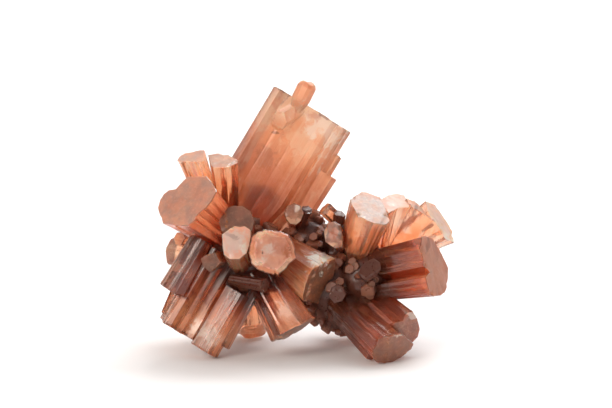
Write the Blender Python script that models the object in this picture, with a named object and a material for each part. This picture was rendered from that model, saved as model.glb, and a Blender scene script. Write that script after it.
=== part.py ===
"""An aragonite specimen: two sprays of six-sided crystals that grew from one mass of small ones.

The crystals are laid out on a front plane that leans back, since the specimen's best side faces
up a little. A place there is (across, up, out) in millimetres: across runs to the right, up along
the leaning plane, and out towards whoever looks at it. The finished part stands on worn corners
of four of its crystals, with the origin on the ground under the middle of its box.
"""

import math
import random

import bmesh
import bpy
from mathutils import Matrix, Vector

MM = 0.001
LEAN = math.radians(12.0)

GAP = 0.35
WORN = 0.22
RIM_SHARE = 0.72
SPRAY_LEFT = Vector((-12.0, 19.5, -1.0))
SPRAY_RIGHT = Vector((11.6, 16.2, -1.0))
BRIDGE = Vector((-1.0, 19.6, -1.0))

TALL_HEADING = (0.513, 0.858, 0.0)
TALL_TIP = (1.35, 50.3, -3.2)
BUNDLE_HEADING = (-0.50, -0.865, -0.02)
BUNDLE_FOOT = (-23.2, 4.6, 6.2)

ROSE = (0.52, 0.24, 0.16, 1.0)
AMBER = (0.62, 0.31, 0.17, 1.0)
UMBER = (0.20, 0.085, 0.06, 1.0)


class Growth:
    """One straight crystal: its cross-section, the way it points and how it narrows to its root."""

    def __init__(self, heading, tip, length, waist, straight=0.0, rim=0.0):
        self.heading = Vector(heading).normalized()
        self.tip = Vector(tip)
        self.right = self.heading.cross(Vector((0, 0, 1))).normalized()
        self.front = self.right.cross(self.heading)
        self.length = length
        self.waist = waist
        self.straight = straight
        self.rim = rim
        self.corners = []

    def rings(self):
        """How deep behind the end face each ring of corners lies, with its share of the full width."""
        rings = [(0.0, RIM_SHARE), (self.rim, 1.0)] if self.rim else [(0.0, 1.0)]
        if self.straight:
            rings.append((self.straight, 1.0))
        return [*rings, (self.length, self.waist)]

    def place(self, corner, depth, share):
        """Where a corner of the cross-section lies in the front plane's frame."""
        across, toward = corner
        return self.tip + (self.right * across + self.front * toward) * share - self.heading * depth


def facing(outline, out, heading, length, waist, rim=0.0):
    """A crystal whose end face shows: the outline is that face's corners as the front plane sees them."""
    middle = Vector((sum(p[0] for p in outline), sum(p[1] for p in outline))) / len(outline)
    growth = Growth(heading, (middle.x, middle.y, out), length, waist, rim=rim)
    normal = growth.heading
    for across, up in outline:
        rise = (across - middle.x) * normal.x + (up - middle.y) * normal.y
        arm = Vector((across - middle.x, up - middle.y, -rise / normal.z))
        growth.corners.append((arm.dot(growth.right), arm.dot(growth.front)))
    return growth


def sideways(profile, tip, heading, length, waist, straight=0.0, rim=0.0):
    """A crystal seen from its side: the profile is its cross-section, as (right, towards the front)."""
    growth = Growth(heading, tip, length, waist, straight, rim)
    growth.corners = list(profile)
    return growth


def beside(heading, foot, across, along, toward=0.0):
    """The end face's place on a parallel growth, from the foot of the crystal that it grew along."""
    host = Growth(heading, foot, 1.0, 1.0)
    return host.tip + host.right * across + host.heading * along + host.front * toward


def six_sided(radius, turn=0.0, cut=0.0):
    """A hexagon's corners, or a twelve-sided outline where its corners are cut back by that share."""
    corners = []
    for side in range(6):
        angle = math.radians(turn + 60 * side)
        if not cut:
            corners.append((radius * math.cos(angle), radius * math.sin(angle)))
            continue
        for lean in (-cut, cut):
            corners.append((radius * math.cos(angle + lean), radius * math.sin(angle + lean)))
    return corners


LEFT_FACE = (
    (-24.4, 36.0), (-23.4, 36.8), (-19.8, 36.8), (-18.6, 35.4), (-17.8, 33.8), (-18.6, 32.2),
    (-19.8, 30.6), (-21.4, 29.4), (-22.4, 27.8), (-23.4, 27.0), (-25.6, 27.0), (-28.6, 27.4),
    (-28.8, 28.4), (-29.2, 29.0), (-29.6, 30.4), (-29.2, 32.0), (-28.4, 33.2), (-27.4, 34.0),
    (-26.0, 34.2),
)
UPPER_LEFT_FACE = (
    (-25.8, 40.0), (-25.4, 40.7), (-24.4, 41.4), (-22.6, 41.6), (-21.2, 42.2), (-20.4, 42.2),
    (-20.0, 41.4), (-20.2, 40.0), (-21.2, 39.6), (-23.8, 39.8), (-25.0, 39.5),
)
UPPER_MIDDLE_FACE = (
    (-19.6, 41.1), (-18.1, 41.3), (-16.9, 41.4), (-15.5, 41.1), (-14.4, 40.4), (-13.5, 40.0),
    (-13.6, 39.5), (-15.1, 38.9), (-16.0, 38.5), (-18.5, 38.4), (-19.0, 38.9), (-19.2, 39.6),
)
SMALL_LEFT_FACE = (
    (-21.0, 20.4), (-19.8, 21.2), (-18.0, 21.6), (-17.4, 20.4), (-16.8, 19.6), (-18.0, 18.4), (-19.2, 17.6),
    (-20.6, 18.8),
)
FRONT_LEFT_FACE = (
    (-16.7, 25.2), (-15.4, 26.2), (-14.2, 27.0), (-13.1, 26.8), (-12.1, 27.0), (-10.9, 26.1),
    (-10.9, 24.8), (-11.2, 23.0), (-11.7, 21.4), (-13.2, 20.2), (-15.2, 20.2), (-16.3, 21.1),
    (-16.6, 23.0),
)
FRONT_RIGHT_FACE = (
    (-11.5, 21.6), (-11.2, 23.0), (-10.8, 24.6), (-9.8, 25.8), (-8.4, 26.2), (-6.6, 26.0),
    (-4.8, 25.8), (-3.4, 25.2), (-2.6, 23.8), (-2.0, 22.0), (-1.8, 20.6), (-3.0, 19.6),
    (-4.0, 18.4), (-5.4, 17.1), (-6.4, 17.1), (-7.8, 17.5), (-9.6, 18.2), (-10.8, 19.4),
)
FRONT_UPPER_FACE = (
    (-17.0, 29.2), (-16.0, 30.4), (-14.4, 31.0), (-12.4, 30.8), (-11.0, 29.8), (-10.2, 28.0),
    (-10.6, 25.8), (-12.6, 24.4), (-15.4, 24.4), (-17.0, 26.2), (-17.4, 27.8),
)
MIDDLE_FACE = (
    (5.9, 20.4), (5.9, 19.2), (5.4, 15.8), (4.5, 13.6), (3.4, 12.1), (2.4, 11.2), (1.4, 11.6),
    (-0.4, 11.8), (-0.5, 12.7), (0.1, 15.2), (0.7, 16.9), (1.4, 18.1), (2.5, 18.9), (3.9, 19.5),
    (5.2, 20.2),
)
RIGHT_UPPER_FACE = (
    (8.8, 32.2), (10.0, 33.2), (11.2, 33.8), (12.2, 33.6), (13.6, 33.0), (15.0, 32.6),
    (15.4, 31.4), (16.2, 29.6), (16.8, 28.0), (16.2, 27.3), (14.8, 27.2), (13.4, 27.4),
    (12.0, 28.0), (10.4, 28.8), (9.8, 29.8), (9.0, 31.2),
)
RIGHT_FACE = (
    (23.0, 24.6), (24.0, 25.0), (25.4, 24.4), (26.0, 23.4), (26.8, 22.2), (27.8, 20.2),
    (28.6, 18.4), (28.6, 16.8), (28.2, 14.6), (27.8, 13.6), (27.0, 13.0), (25.4, 12.8),
    (24.6, 13.6), (24.0, 15.6), (23.8, 16.6), (24.8, 17.4), (23.6, 18.8), (23.2, 20.4),
    (22.8, 22.4),
)
LOWER_RIGHT_BACK_FACE = (
    (15.6, 5.6), (16.4, 6.8), (17.4, 7.6), (19.2, 8.0), (20.2, 9.6), (21.2, 10.0), (22.2, 8.4),
    (22.8, 6.4), (22.4, 4.6), (21.2, 3.4), (19.2, 2.0), (16.4, 2.6),
)
LOWER_RIGHT_FRONT_FACE = (
    (13.5, 0.7), (13.5, 2.0), (14.5, 3.4), (15.7, 4.6), (17.5, 5.2), (18.9, 5.4), (20.3, 4.5),
    (21.5, 3.3), (21.2, 2.3), (20.0, 1.4), (18.9, 0.6), (17.4, -0.2), (16.0, -0.6), (14.2, -0.4),
)
TALL_FINGER_FACE = (
    (-7.0, 46.6), (-6.9, 48.8), (-5.9, 49.8), (-4.4, 49.4), (-3.8, 47.4), (-4.8, 45.9), (-6.2, 45.8),
)
TALL_FOOT_FACE = (
    (-4.4, 29.4), (-3.8, 30.8), (-2.4, 31.4), (-1.0, 30.8), (-0.4, 29.4), (-1.0, 27.8),
    (-2.0, 27.0), (-3.2, 27.2), (-4.0, 28.2),
)
UPPER_INNER_FACE = (
    (3.5, 25.9), (4.3, 27.6), (5.6, 27.8), (6.8, 27.1), (7.4, 24.8), (7.2, 22.6), (5.7, 22.3),
    (3.8, 23.6),
)
FAR_RIGHT_TOP_FACE = (
    (15.0, 32.2), (16.4, 33.0), (18.2, 33.3), (19.6, 33.0), (20.6, 32.2), (21.4, 31.2),
    (20.4, 30.6), (18.4, 30.4), (16.4, 29.4), (15.6, 30.6),
)

TALL_PROFILE = (
    (-9.0, -0.6), (-7.6, 2.6), (4.6, 2.6), (5.7, 1.7), (6.1, 2.1), (8.1, 0.9), (8.3, 0.4),
    (9.0, -0.6), (6.2, -4.0), (-5.6, -4.2),
)
TALL_STEP_PROFILE = ((-1.6, -1.6), (-1.2, 0.8), (0.9, 0.7), (1.1, -0.4), (0.4, -1.6))
TALL_SHOULDER_PROFILE = ((-3.0, -2.6), (-2.6, 1.6), (1.4, 1.8), (2.4, 0.2), (1.8, -2.4))
UPPER_BUNDLE_PROFILE = (
    (3.0, -1.2), (2.3, 1.5), (-0.7, 3.2), (-2.3, 2.4), (-2.9, -0.4), (-2.2, -3.4), (1.4, -3.5),
)
MIDDLE_BUNDLE_PROFILE = (
    (4.1, -1.5), (3.6, 1.0), (1.4, 1.6), (0.6, 0.8), (-0.1, 2.6), (-1.1, 2.4), (-1.8, 0.8),
    (-3.6, 1.2), (-4.2, -1.8), (-1.0, -3.6), (2.5, -3.5),
)
CLEAR_BUNDLE_PROFILE = (
    (3.1, -1.2), (2.8, 2.2), (-0.8, 3.2), (-2.6, 1.2), (-3.0, -0.8), (-1.0, -2.8), (1.8, -2.6),
)
LOWER_MIDDLE_PROFILE = (
    (4.8, -0.4), (2.5, 3.4), (-4.6, 1.7), (-5.1, -1.0), (-1.7, -4.0), (2.9, -3.6),
)
FAR_RIGHT_EDGE_PROFILE = ((4.0, -0.6), (2.6, 2.6), (-2.4, 2.9), (-4.1, 0.4), (-2.2, -2.8), (2.2, -2.9))
FAR_RIGHT_OUTER_PROFILE = ((5.1, -0.2), (3.6, 2.7), (-3.2, 3.0), (-5.1, 0.6), (-3.4, -2.8), (3.0, -3.0))


def tall_crystal():
    """The broad crystal at the top, with the shorter growths along its side and two fingers on its front."""
    return [
        sideways(TALL_PROFILE, TALL_TIP, TALL_HEADING, 30.0, 0.55, straight=20.0),
        sideways(TALL_STEP_PROFILE, beside(TALL_HEADING, TALL_TIP, 9.0, -5.4, -1.2), TALL_HEADING, 20.0, 0.85),
        sideways(
            TALL_SHOULDER_PROFILE, beside(TALL_HEADING, TALL_TIP, 9.0, -9.8, -0.6), TALL_HEADING, 16.0, 0.8
        ),
        sideways(six_sided(1.9, 12, 0.2), (0.6, 55.5, 1.6), (0.45, 0.85, 0.24), 9.0, 0.95, rim=1.0),
        facing(TALL_FINGER_FACE, 2.4, (-0.60, -0.36, 0.71), 7.0, 1.05),
    ]


def lower_left_bundle():
    """Three parallel growths that share their sides: a short one, a ridged one and a clear one."""
    heading, foot = BUNDLE_HEADING, BUNDLE_FOOT
    return [
        sideways(UPPER_BUNDLE_PROFILE, beside(heading, foot, 7.5, -6.2), heading, 12.0, 0.84),
        sideways(MIDDLE_BUNDLE_PROFILE, beside(heading, foot, 3.0, 0.1), heading, 18.0, 0.95),
        sideways(CLEAR_BUNDLE_PROFILE, beside(heading, foot, -3.8, 0.85), heading, 18.0, 0.95),
        sideways(six_sided(1.4, 8), beside(heading, foot, -6.7, -1.8, -0.6), heading, 14.0, 0.8),
        sideways(six_sided(1.7, 20), (-27.4, 9.0, 4.6), (-0.36, -0.93, 0.0), 11.0, 0.8),
    ]


def far_right_crystals():
    """The group behind the upper right, whose ends fan out to the right."""
    return [
        facing(FAR_RIGHT_TOP_FACE, 0.6, (0.20, 0.90, 0.39), 15.0, 0.6),
        sideways(FAR_RIGHT_EDGE_PROFILE, (23.4, 30.0, -1.2), (0.56, 0.80, 0.22), 16.0, 0.55),
        sideways(FAR_RIGHT_OUTER_PROFILE, (26.9, 27.7, -2.6), (0.78, 0.50, 0.37), 17.0, 0.55),
    ]


def upper_inner_crystals():
    """Two short crystals in the dip between the tall crystal and the upper right one."""
    return [
        facing(UPPER_INNER_FACE, 7.6, (-0.20, 0.25, 0.95), 9.0, 0.7),
        sideways(six_sided(1.5, 15), (3.7, 30.4, 3.6), (-0.66, 0.66, 0.36), 9.0, 0.9),
    ]


def far_left_crystals():
    """The crystal behind the lower left ones, with a small one above it."""
    return [
        sideways(six_sided(3.0, 25, 0.12), (-26.78, 21.61, -9.8), (-0.84, 0.12, -0.50), 13.0, 0.6),
        sideways(six_sided(1.5, 20), (-25.4, 24.3, 0.6), (-0.62, 0.14, 0.77), 11.0, 1.2),
    ]


def lower_right_crystal():
    """The stout crystal at the lower right, whose end has two steps. The front one reaches the ground."""
    heading = (0.60, -0.55, 0.58)
    return [
        facing(LOWER_RIGHT_FRONT_FACE, 11.75, heading, 17.0, 0.78),
        facing(LOWER_RIGHT_BACK_FACE, 7.4, heading, 15.0, 0.66),
        sideways(six_sided(1.5, 10), (13.4, 1.1, 9.6), (0.56, -0.62, 0.55), 13.0, 0.9),
    ]


def away(spray, heading, reach, radius, turn, length, uneven=0.12):
    """A crystal that points away from the front, from the middle of its spray."""
    tip = spray + Vector(heading).normalized() * reach
    corners = []
    for number, (across, toward) in enumerate(six_sided(radius, turn, 0.12)):
        share = 1 + uneven * math.sin(1.1 * number + turn)
        corners.append((across * share, toward * share))
    return [sideways(corners, tip, heading, length, 0.6)]


# Each piece's growths, its colour and where it stands in the order: a later piece gives way to those before it
PIECES = {
    "tall_crystal": (tall_crystal(), AMBER),
    "front_right_crystal": ([facing(FRONT_RIGHT_FACE, 17.6, (0.02, 0.03, 1.0), 12.6, 0.74, rim=1.0)], ROSE),
    "left_crystal": ([facing(LEFT_FACE, 10.0, (-0.54, 0.46, 0.70), 17.0, 0.6)], ROSE),
    "small_left_crystal": ([facing(SMALL_LEFT_FACE, 11.4, (-0.45, -0.10, 0.89), 8.0, 0.7)], UMBER),
    "lower_left_crystals": (lower_left_bundle(), UMBER),
    "lower_middle_crystal": (
        [sideways(LOWER_MIDDLE_PROFILE, (-2.6, 5.9, 8.0), (0.50, -0.85, 0.17), 14.0, 0.72)],
        ROSE,
    ),
    "lower_right_crystal": (lower_right_crystal(), UMBER),
    "right_crystal": ([facing(RIGHT_FACE, 7.0, (0.88, 0.16, 0.45), 16.0, 0.8)], UMBER),
    "right_upper_crystal": ([facing(RIGHT_UPPER_FACE, 7.0, (0.27, 0.78, 0.56), 16.0, 0.66)], AMBER),
    "upper_inner_crystals": (upper_inner_crystals(), UMBER),
    "tall_foot_crystal": ([facing(TALL_FOOT_FACE, 7.0, (0.0, 0.20, 0.98), 9.0, 0.7)], ROSE),
    "front_left_crystal": ([facing(FRONT_LEFT_FACE, 15.0, (-0.10, 0.30, 0.95), 11.0, 0.95)], ROSE),
    "middle_crystal": ([facing(MIDDLE_FACE, 8.2, (0.72, -0.50, 0.45), 13.0, 0.7)], UMBER),
    "upper_left_crystal": ([facing(UPPER_LEFT_FACE, 2.0, (-0.31, 0.87, 0.38), 17.0, 0.62)], AMBER),
    "upper_middle_crystal": ([facing(UPPER_MIDDLE_FACE, 3.0, (-0.08, 0.89, 0.45), 17.0, 0.62)], AMBER),
    "front_upper_crystal": ([facing(FRONT_UPPER_FACE, 10.5, (-0.12, 0.45, 0.885), 11.0, 0.7)], UMBER),
    "far_right_crystals": (far_right_crystals(), AMBER),
    "back_foot_crystal": (away(SPRAY_LEFT, (0.06, -0.74, -0.67), 17.95, 3.6, 10, 13.0, 0), AMBER),
    "far_left_crystals": (far_left_crystals(), AMBER),
    "back_left_crystal": (away(SPRAY_LEFT, (-0.45, 0.40, -0.80), 18.0, 4.1, 5, 13.5), ROSE),
    "back_middle_crystal": (away(SPRAY_LEFT, (0.22, 0.12, -0.97), 18.5, 4.6, 20, 14.0), UMBER),
    "back_low_left_crystal": (away(SPRAY_LEFT, (-0.62, -0.36, -0.70), 16.5, 3.6, 0, 12.0), ROSE),
    "back_top_crystal": (away(SPRAY_LEFT, (0.20, 0.78, -0.59), 17.0, 3.9, 15, 12.0), AMBER),
    "back_right_crystal": (away(SPRAY_RIGHT, (0.12, 0.30, -0.95), 17.5, 4.3, 10, 13.5), ROSE),
    "back_far_right_crystal": (away(SPRAY_RIGHT, (0.66, 0.10, -0.74), 15.5, 3.2, 0, 12.0), UMBER),
    "back_right_foot_crystal": (away(SPRAY_RIGHT, (0.16, -0.62, -0.77), 15.68, 3.3, 25, 12.0, 0), UMBER),
    "back_inner_crystal": (away(SPRAY_RIGHT, (-0.34, -0.40, -0.85), 15.0, 3.3, 15, 11.5), ROSE),
    "back_bridge_crystal": (away(BRIDGE, (0.16, 0.34, -0.93), 14.5, 3.5, 20, 11.0), UMBER),
}

# The mass of small crystals: rounded lumps as (across, up, out), with their radius
LUMPS = (
    ((-12.0, 19.5, -1.0), 8.2),
    ((11.6, 16.4, -1.0), 7.0),
    ((-1.6, 19.0, -1.0), 6.2),
    ((4.6, 15.0, -0.5), 6.2),
    ((0.6, 24.0, -1.5), 4.6),
    ((6.6, 9.6, -0.6), 4.0),
    ((3.6, 10.6, -0.4), 3.0),
    ((6.4, 21.0, -1.4), 3.2),
)

# Small crystals that can be told apart among the rest, as an end face or a six-sided radius
SMALL_RIGHT_FACE = (
    (11.0, 18.8), (12.0, 19.8), (13.4, 20.4), (14.8, 19.6), (15.0, 18.2), (14.0, 16.8), (12.4, 15.8),
    (11.0, 16.6), (10.4, 17.6),
)
SMALL_MIDDLE_FACE = (
    (4.4, 12.8), (5.0, 14.6), (6.2, 15.2), (7.4, 14.6), (8.0, 13.2), (7.2, 11.8), (5.6, 11.4),
)


def told_apart():
    """The small crystals that the front shows one by one."""
    return [
        facing(SMALL_RIGHT_FACE, 9.4, (0.10, 0.15, 0.98), 8.0, 0.7),
        facing(SMALL_MIDDLE_FACE, 8.4, (-0.15, -0.10, 0.98), 8.0, 0.7),
        sideways(six_sided(1.3, 0), (6.7, 29.4, 3.6), (0.12, 0.88, 0.46), 8.0, 0.7),
        sideways(six_sided(1.5, 10), (-8.0, 15.0, 11.2), (0.86, -0.14, 0.45), 8.0, 0.8),
        sideways(six_sided(1.2, 30), (0.2, 30.2, 4.2), (0.30, 0.72, 0.62), 7.0, 0.7),
    ]


SMALL_COUNT = 64
SMALL_SEED = 11
GOLDEN_ANGLE = math.pi * (3 - math.sqrt(5))


def scattered():
    """Small crystals that stand out of the lumps on every side, spread evenly and then turned at random."""
    chance = random.Random(SMALL_SEED)
    growths = []
    for middle, radius in LUMPS:
        count = round(SMALL_COUNT * radius**2 / sum(r**2 for _, r in LUMPS)) + 4
        for number in range(count):
            height = 1 - 2 * (number + 0.5) / count
            ring = math.sqrt(1 - height**2)
            angle = number * GOLDEN_ANGLE + chance.uniform(-0.3, 0.3)
            heading = Vector((ring * math.cos(angle), height, ring * math.sin(angle)))
            reach = radius + chance.uniform(0.4, 1.9)
            width = chance.uniform(0.9, 1.9)
            tip = Vector(middle) + heading * reach
            growths.append(sideways(six_sided(width, chance.uniform(0, 60)), tip, heading, 4.2, 0.8))
    return growths


def stand(place):
    """A point of the leaning front plane's frame, in metres with Z up."""
    across, up, out = place
    return Vector((
        across * MM,
        (up * math.sin(LEAN) - out * math.cos(LEAN)) * MM,
        (up * math.cos(LEAN) + out * math.sin(LEAN)) * MM,
    ))


def widened(corners, margin):
    """A cross-section's outline moved outwards by the margin, each side along its own normal."""
    area = sum(a[0] * b[1] - b[0] * a[1] for a, b in zip(corners, corners[1:] + corners[:1]))
    turn = 1 if area > 0 else -1
    moved = []
    for index, corner in enumerate(corners):
        before = Vector(corner) - Vector(corners[index - 1])
        after = Vector(corners[(index + 1) % len(corners)]) - Vector(corner)
        first = Vector((before.y, -before.x)).normalized() * turn
        second = Vector((after.y, -after.x)).normalized() * turn
        share = max(1 + first.dot(second), 0.5)
        moved.append(Vector(corner) + (first + second) * (margin / share))
    return [(point.x, point.y) for point in moved]


def prism(name, growth, margin=0.0):
    """The solid of one growth, or of the room that its neighbours leave it where there is a margin."""
    corners = widened(growth.corners, margin) if margin else growth.corners
    depths = growth.rings()
    depths[0] = (depths[0][0] - margin, depths[0][1])
    depths[-1] = (depths[-1][0] + margin, depths[-1][1])
    mesh = bmesh.new()
    rings = []
    for depth, share in depths:
        rings.append([mesh.verts.new(stand(growth.place(c, depth, share))) for c in corners])
    mesh.faces.new(rings[0])
    mesh.faces.new(rings[-1])
    for near, far in zip(rings, rings[1:]):
        for index in range(len(corners)):
            after = (index + 1) % len(corners)
            mesh.faces.new((near[index], far[index], far[after], near[after]))
    bmesh.ops.recalc_face_normals(mesh, faces=mesh.faces)
    return linked(name, mesh)


def lump(name, middle, radius):
    """One rounded lump of the mass of small crystals."""
    mesh = bmesh.new()
    place = Matrix.Translation(stand(middle))
    bmesh.ops.create_icosphere(mesh, subdivisions=2, radius=radius * MM, matrix=place)
    return linked(name, mesh)


def linked(name, mesh):
    """A bmesh as an object of the scene."""
    data = bpy.data.meshes.new(name)
    mesh.to_mesh(data)
    mesh.free()
    made = bpy.data.objects.new(name, data)
    bpy.context.scene.collection.objects.link(made)
    return made


def gathered(name, objects):
    """A collection of helper shapes, which a Boolean takes together."""
    group = bpy.data.collections.new(name)
    for helper in objects:
        group.objects.link(helper)
        helper.hide_render = True
        helper.display_type = "WIRE"
    bpy.context.scene.collection.children.link(group)
    return group


def combined(target, operation, helpers):
    """The target after one Boolean with the helpers, as a plain mesh. The helpers are used up."""
    if not helpers:
        return
    group = gathered("helpers", helpers)
    modifier = target.modifiers.new(operation.lower(), "BOOLEAN")
    modifier.operation = operation
    modifier.operand_type = "COLLECTION"
    modifier.collection = group
    bpy.context.view_layer.update()
    evaluated = target.evaluated_get(bpy.context.evaluated_depsgraph_get())
    result = bpy.data.meshes.new_from_object(evaluated)
    target.modifiers.remove(modifier)
    target.data = result
    for helper in helpers:
        bpy.data.objects.remove(helper)
    bpy.data.collections.remove(group)


def keep_largest(target):
    """Drops what a cut left loose, so that the piece is one body."""
    mesh = bmesh.new()
    mesh.from_mesh(target.data)
    unseen = set(mesh.verts)
    islands = []
    while unseen:
        front = [unseen.pop()]
        island = set(front)
        while front:
            for edge in front.pop().link_edges:
                for vertex in edge.verts:
                    if vertex in unseen:
                        unseen.remove(vertex)
                        island.add(vertex)
                        front.append(vertex)
        islands.append(island)
    largest = max(islands, key=len)
    loose = [v for island in islands if island is not largest for v in island]
    bmesh.ops.delete(mesh, geom=loose, context="VERTS")
    mesh.to_mesh(target.data)
    mesh.free()


def finish(name, colour):
    """The mineral's surface: glossy, and redder where it is dense."""
    material = bpy.data.materials.new(name)
    material.use_nodes = True
    shader = material.node_tree.nodes["Principled BSDF"]
    shader.inputs["Base Color"].default_value = colour
    shader.inputs["Roughness"].default_value = 0.25
    shader.inputs["Metallic"].default_value = 0.0
    return material


def grow_pieces(finishes):
    """Every named crystal, joined with its parallel growths and cut clear of the pieces before it."""
    grown = []
    done = []
    for name, (growths, colour) in PIECES.items():
        piece = prism(name, growths[0])
        combined(piece, "UNION", [prism("growth", g) for g in growths[1:]])
        combined(piece, "DIFFERENCE", [prism("room", g, GAP) for g in done])
        keep_largest(piece)
        piece.data.materials.clear()
        piece.data.materials.append(finishes[colour])
        grown.append(piece)
        done.extend(growths)
    return grown, done


def grow_mass(neighbours, finishes):
    """The mass of small crystals that fills the middle, cut clear of every named crystal."""
    mass = lump("small_crystals", *LUMPS[0])
    lumps = [lump("lump", middle, radius) for middle, radius in LUMPS[1:]]
    small = [prism("small", g) for g in told_apart() + scattered()]
    combined(mass, "UNION", lumps + small)
    combined(mass, "DIFFERENCE", [prism("room", g, GAP) for g in neighbours])
    keep_largest(mass)
    mass.data.materials.clear()
    mass.data.materials.append(finishes[UMBER])
    return mass


def corners_of(piece):
    return [piece.matrix_world @ vertex.co for vertex in piece.data.vertices]


def wear_flat(pieces):
    """Wears the lowest corners flat where the specimen rests on them, and puts the ground there at Z 0."""
    lowest = min(corner.z for piece in pieces for corner in corners_of(piece))
    ground = lowest + WORN * MM
    for piece in pieces:
        if min(corner.z for corner in corners_of(piece)) >= ground:
            continue
        mesh = bmesh.new()
        mesh.from_mesh(piece.data)
        everything = mesh.verts[:] + mesh.edges[:] + mesh.faces[:]
        cut = bmesh.ops.bisect_plane(
            mesh, geom=everything, plane_co=(0, 0, ground), plane_no=(0, 0, 1), clear_inner=True
        )
        rim = [part for part in cut["geom_cut"] if isinstance(part, bmesh.types.BMEdge)]
        bmesh.ops.edgeloop_fill(mesh, edges=rim)
        bmesh.ops.recalc_face_normals(mesh, faces=mesh.faces)
        mesh.to_mesh(piece.data)
        mesh.free()
    return ground


def centre(pieces, ground):
    """Moves the pieces so that the origin is on the ground, under the middle of their box."""
    corners = [corner for piece in pieces for corner in corners_of(piece)]
    middle_x = (min(c.x for c in corners) + max(c.x for c in corners)) / 2
    middle_y = (min(c.y for c in corners) + max(c.y for c in corners)) / 2
    for piece in pieces:
        piece.data.transform(Matrix.Translation((-middle_x, -middle_y, -ground)))


def main():
    for old in list(bpy.data.objects):
        bpy.data.objects.remove(old)
    finishes = {
        ROSE: finish("rose_aragonite", ROSE),
        AMBER: finish("amber_aragonite", AMBER),
        UMBER: finish("umber_aragonite", UMBER),
    }
    crystals, growths = grow_pieces(finishes)
    pieces = [*crystals, grow_mass(growths, finishes)]
    centre(pieces, wear_flat(pieces))


main()
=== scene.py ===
"""The aragonite specimen's looks: striated, see-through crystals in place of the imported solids.

Each crystal is laid out on the same leaning front plane as the solids, in millimetres, as
(across, up, out). Its sides get growth ridges and grooves, its end gets a worn rim, chips, steps
and a fine relief. The small crystals between the large ones are set out by Geometry Nodes.
"""

import math
import random
import typing

import bmesh
import bpy
from mathutils import Matrix, Vector, noise


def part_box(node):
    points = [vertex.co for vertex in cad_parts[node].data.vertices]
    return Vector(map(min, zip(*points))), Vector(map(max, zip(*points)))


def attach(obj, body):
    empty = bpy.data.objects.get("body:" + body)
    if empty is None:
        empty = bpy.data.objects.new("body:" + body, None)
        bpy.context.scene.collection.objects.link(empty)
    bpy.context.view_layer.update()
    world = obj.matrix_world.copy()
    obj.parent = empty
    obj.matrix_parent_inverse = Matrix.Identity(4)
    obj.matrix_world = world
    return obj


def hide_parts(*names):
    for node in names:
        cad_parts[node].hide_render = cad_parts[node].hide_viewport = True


bl_info = {
    "name": "Aragonite specimen",
    "version": (1, 0, 0),
    "blender": (4, 5, 0),
    "location": "3D View > Sidebar > Specimen",
    "description": "Grows a cluster of striated aragonite crystals and its studio stage",
    "category": "Add Mesh",
}

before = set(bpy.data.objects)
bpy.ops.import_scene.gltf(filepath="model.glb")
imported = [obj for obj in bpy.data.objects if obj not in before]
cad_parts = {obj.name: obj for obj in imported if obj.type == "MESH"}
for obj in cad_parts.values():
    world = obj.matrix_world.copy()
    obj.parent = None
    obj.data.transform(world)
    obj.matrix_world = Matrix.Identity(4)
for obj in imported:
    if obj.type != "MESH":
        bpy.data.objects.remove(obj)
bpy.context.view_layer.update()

MM = 0.001
# How far the front plane leans back, and with it the camera looks down.
LEAN = math.radians(12.0)
# The middles of the two sprays and of the bridge between them.
SPRAY_LEFT = Vector((-12.0, 19.5, -1.0))
SPRAY_RIGHT = Vector((11.6, 16.2, -1.0))
BRIDGE = Vector((-1.0, 19.6, -1.0))
# The flat part of a domed end beside the crystal's full width.
RIM_SHARE = 0.72

TALL_HEADING = (0.513, 0.858, 0.0)
TALL_TIP = (1.35, 50.3, -3.2)
BUNDLE_HEADING = (-0.50, -0.865, -0.02)
BUNDLE_FOOT = (-23.2, 4.6, 6.2)

LEFT_FACE = (
    (-24.4, 36.0), (-23.4, 36.8), (-19.8, 36.8), (-18.6, 35.4), (-17.8, 33.8), (-18.6, 32.2),
    (-19.8, 30.6), (-21.4, 29.4), (-22.4, 27.8), (-23.4, 27.0), (-25.6, 27.0), (-28.6, 27.4),
    (-28.8, 28.4), (-29.2, 29.0), (-29.6, 30.4), (-29.2, 32.0), (-28.4, 33.2), (-27.4, 34.0),
    (-26.0, 34.2),
)
UPPER_LEFT_FACE = (
    (-25.8, 40.0), (-25.4, 40.7), (-24.4, 41.4), (-22.6, 41.6), (-21.2, 42.2), (-20.4, 42.2),
    (-20.0, 41.4), (-20.2, 40.0), (-21.2, 39.6), (-23.8, 39.8), (-25.0, 39.5),
)
UPPER_MIDDLE_FACE = (
    (-19.6, 41.1), (-18.1, 41.3), (-16.9, 41.4), (-15.5, 41.1), (-14.4, 40.4), (-13.5, 40.0),
    (-13.6, 39.5), (-15.1, 38.9), (-16.0, 38.5), (-18.5, 38.4), (-19.0, 38.9), (-19.2, 39.6),
)
SMALL_LEFT_FACE = (
    (-21.0, 20.4), (-19.8, 21.2), (-18.0, 21.6), (-17.4, 20.4), (-16.8, 19.6), (-18.0, 18.4),
    (-19.2, 17.6), (-20.6, 18.8),
)
FRONT_LEFT_FACE = (
    (-16.7, 25.2), (-15.4, 26.2), (-14.2, 27.0), (-13.1, 26.8), (-12.1, 27.0), (-10.9, 26.1),
    (-10.9, 24.8), (-11.2, 23.0), (-11.7, 21.4), (-13.2, 20.2), (-15.2, 20.2), (-16.3, 21.1),
    (-16.6, 23.0),
)
FRONT_RIGHT_FACE = (
    (-11.5, 21.6), (-11.2, 23.0), (-10.8, 24.6), (-9.8, 25.8), (-8.4, 26.2), (-6.6, 26.0),
    (-4.8, 25.8), (-3.4, 25.2), (-2.6, 23.8), (-2.0, 22.0), (-1.8, 20.6), (-3.0, 19.6),
    (-4.0, 18.4), (-5.4, 17.1), (-6.4, 17.1), (-7.8, 17.5), (-9.6, 18.2), (-10.8, 19.4),
)
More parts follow.
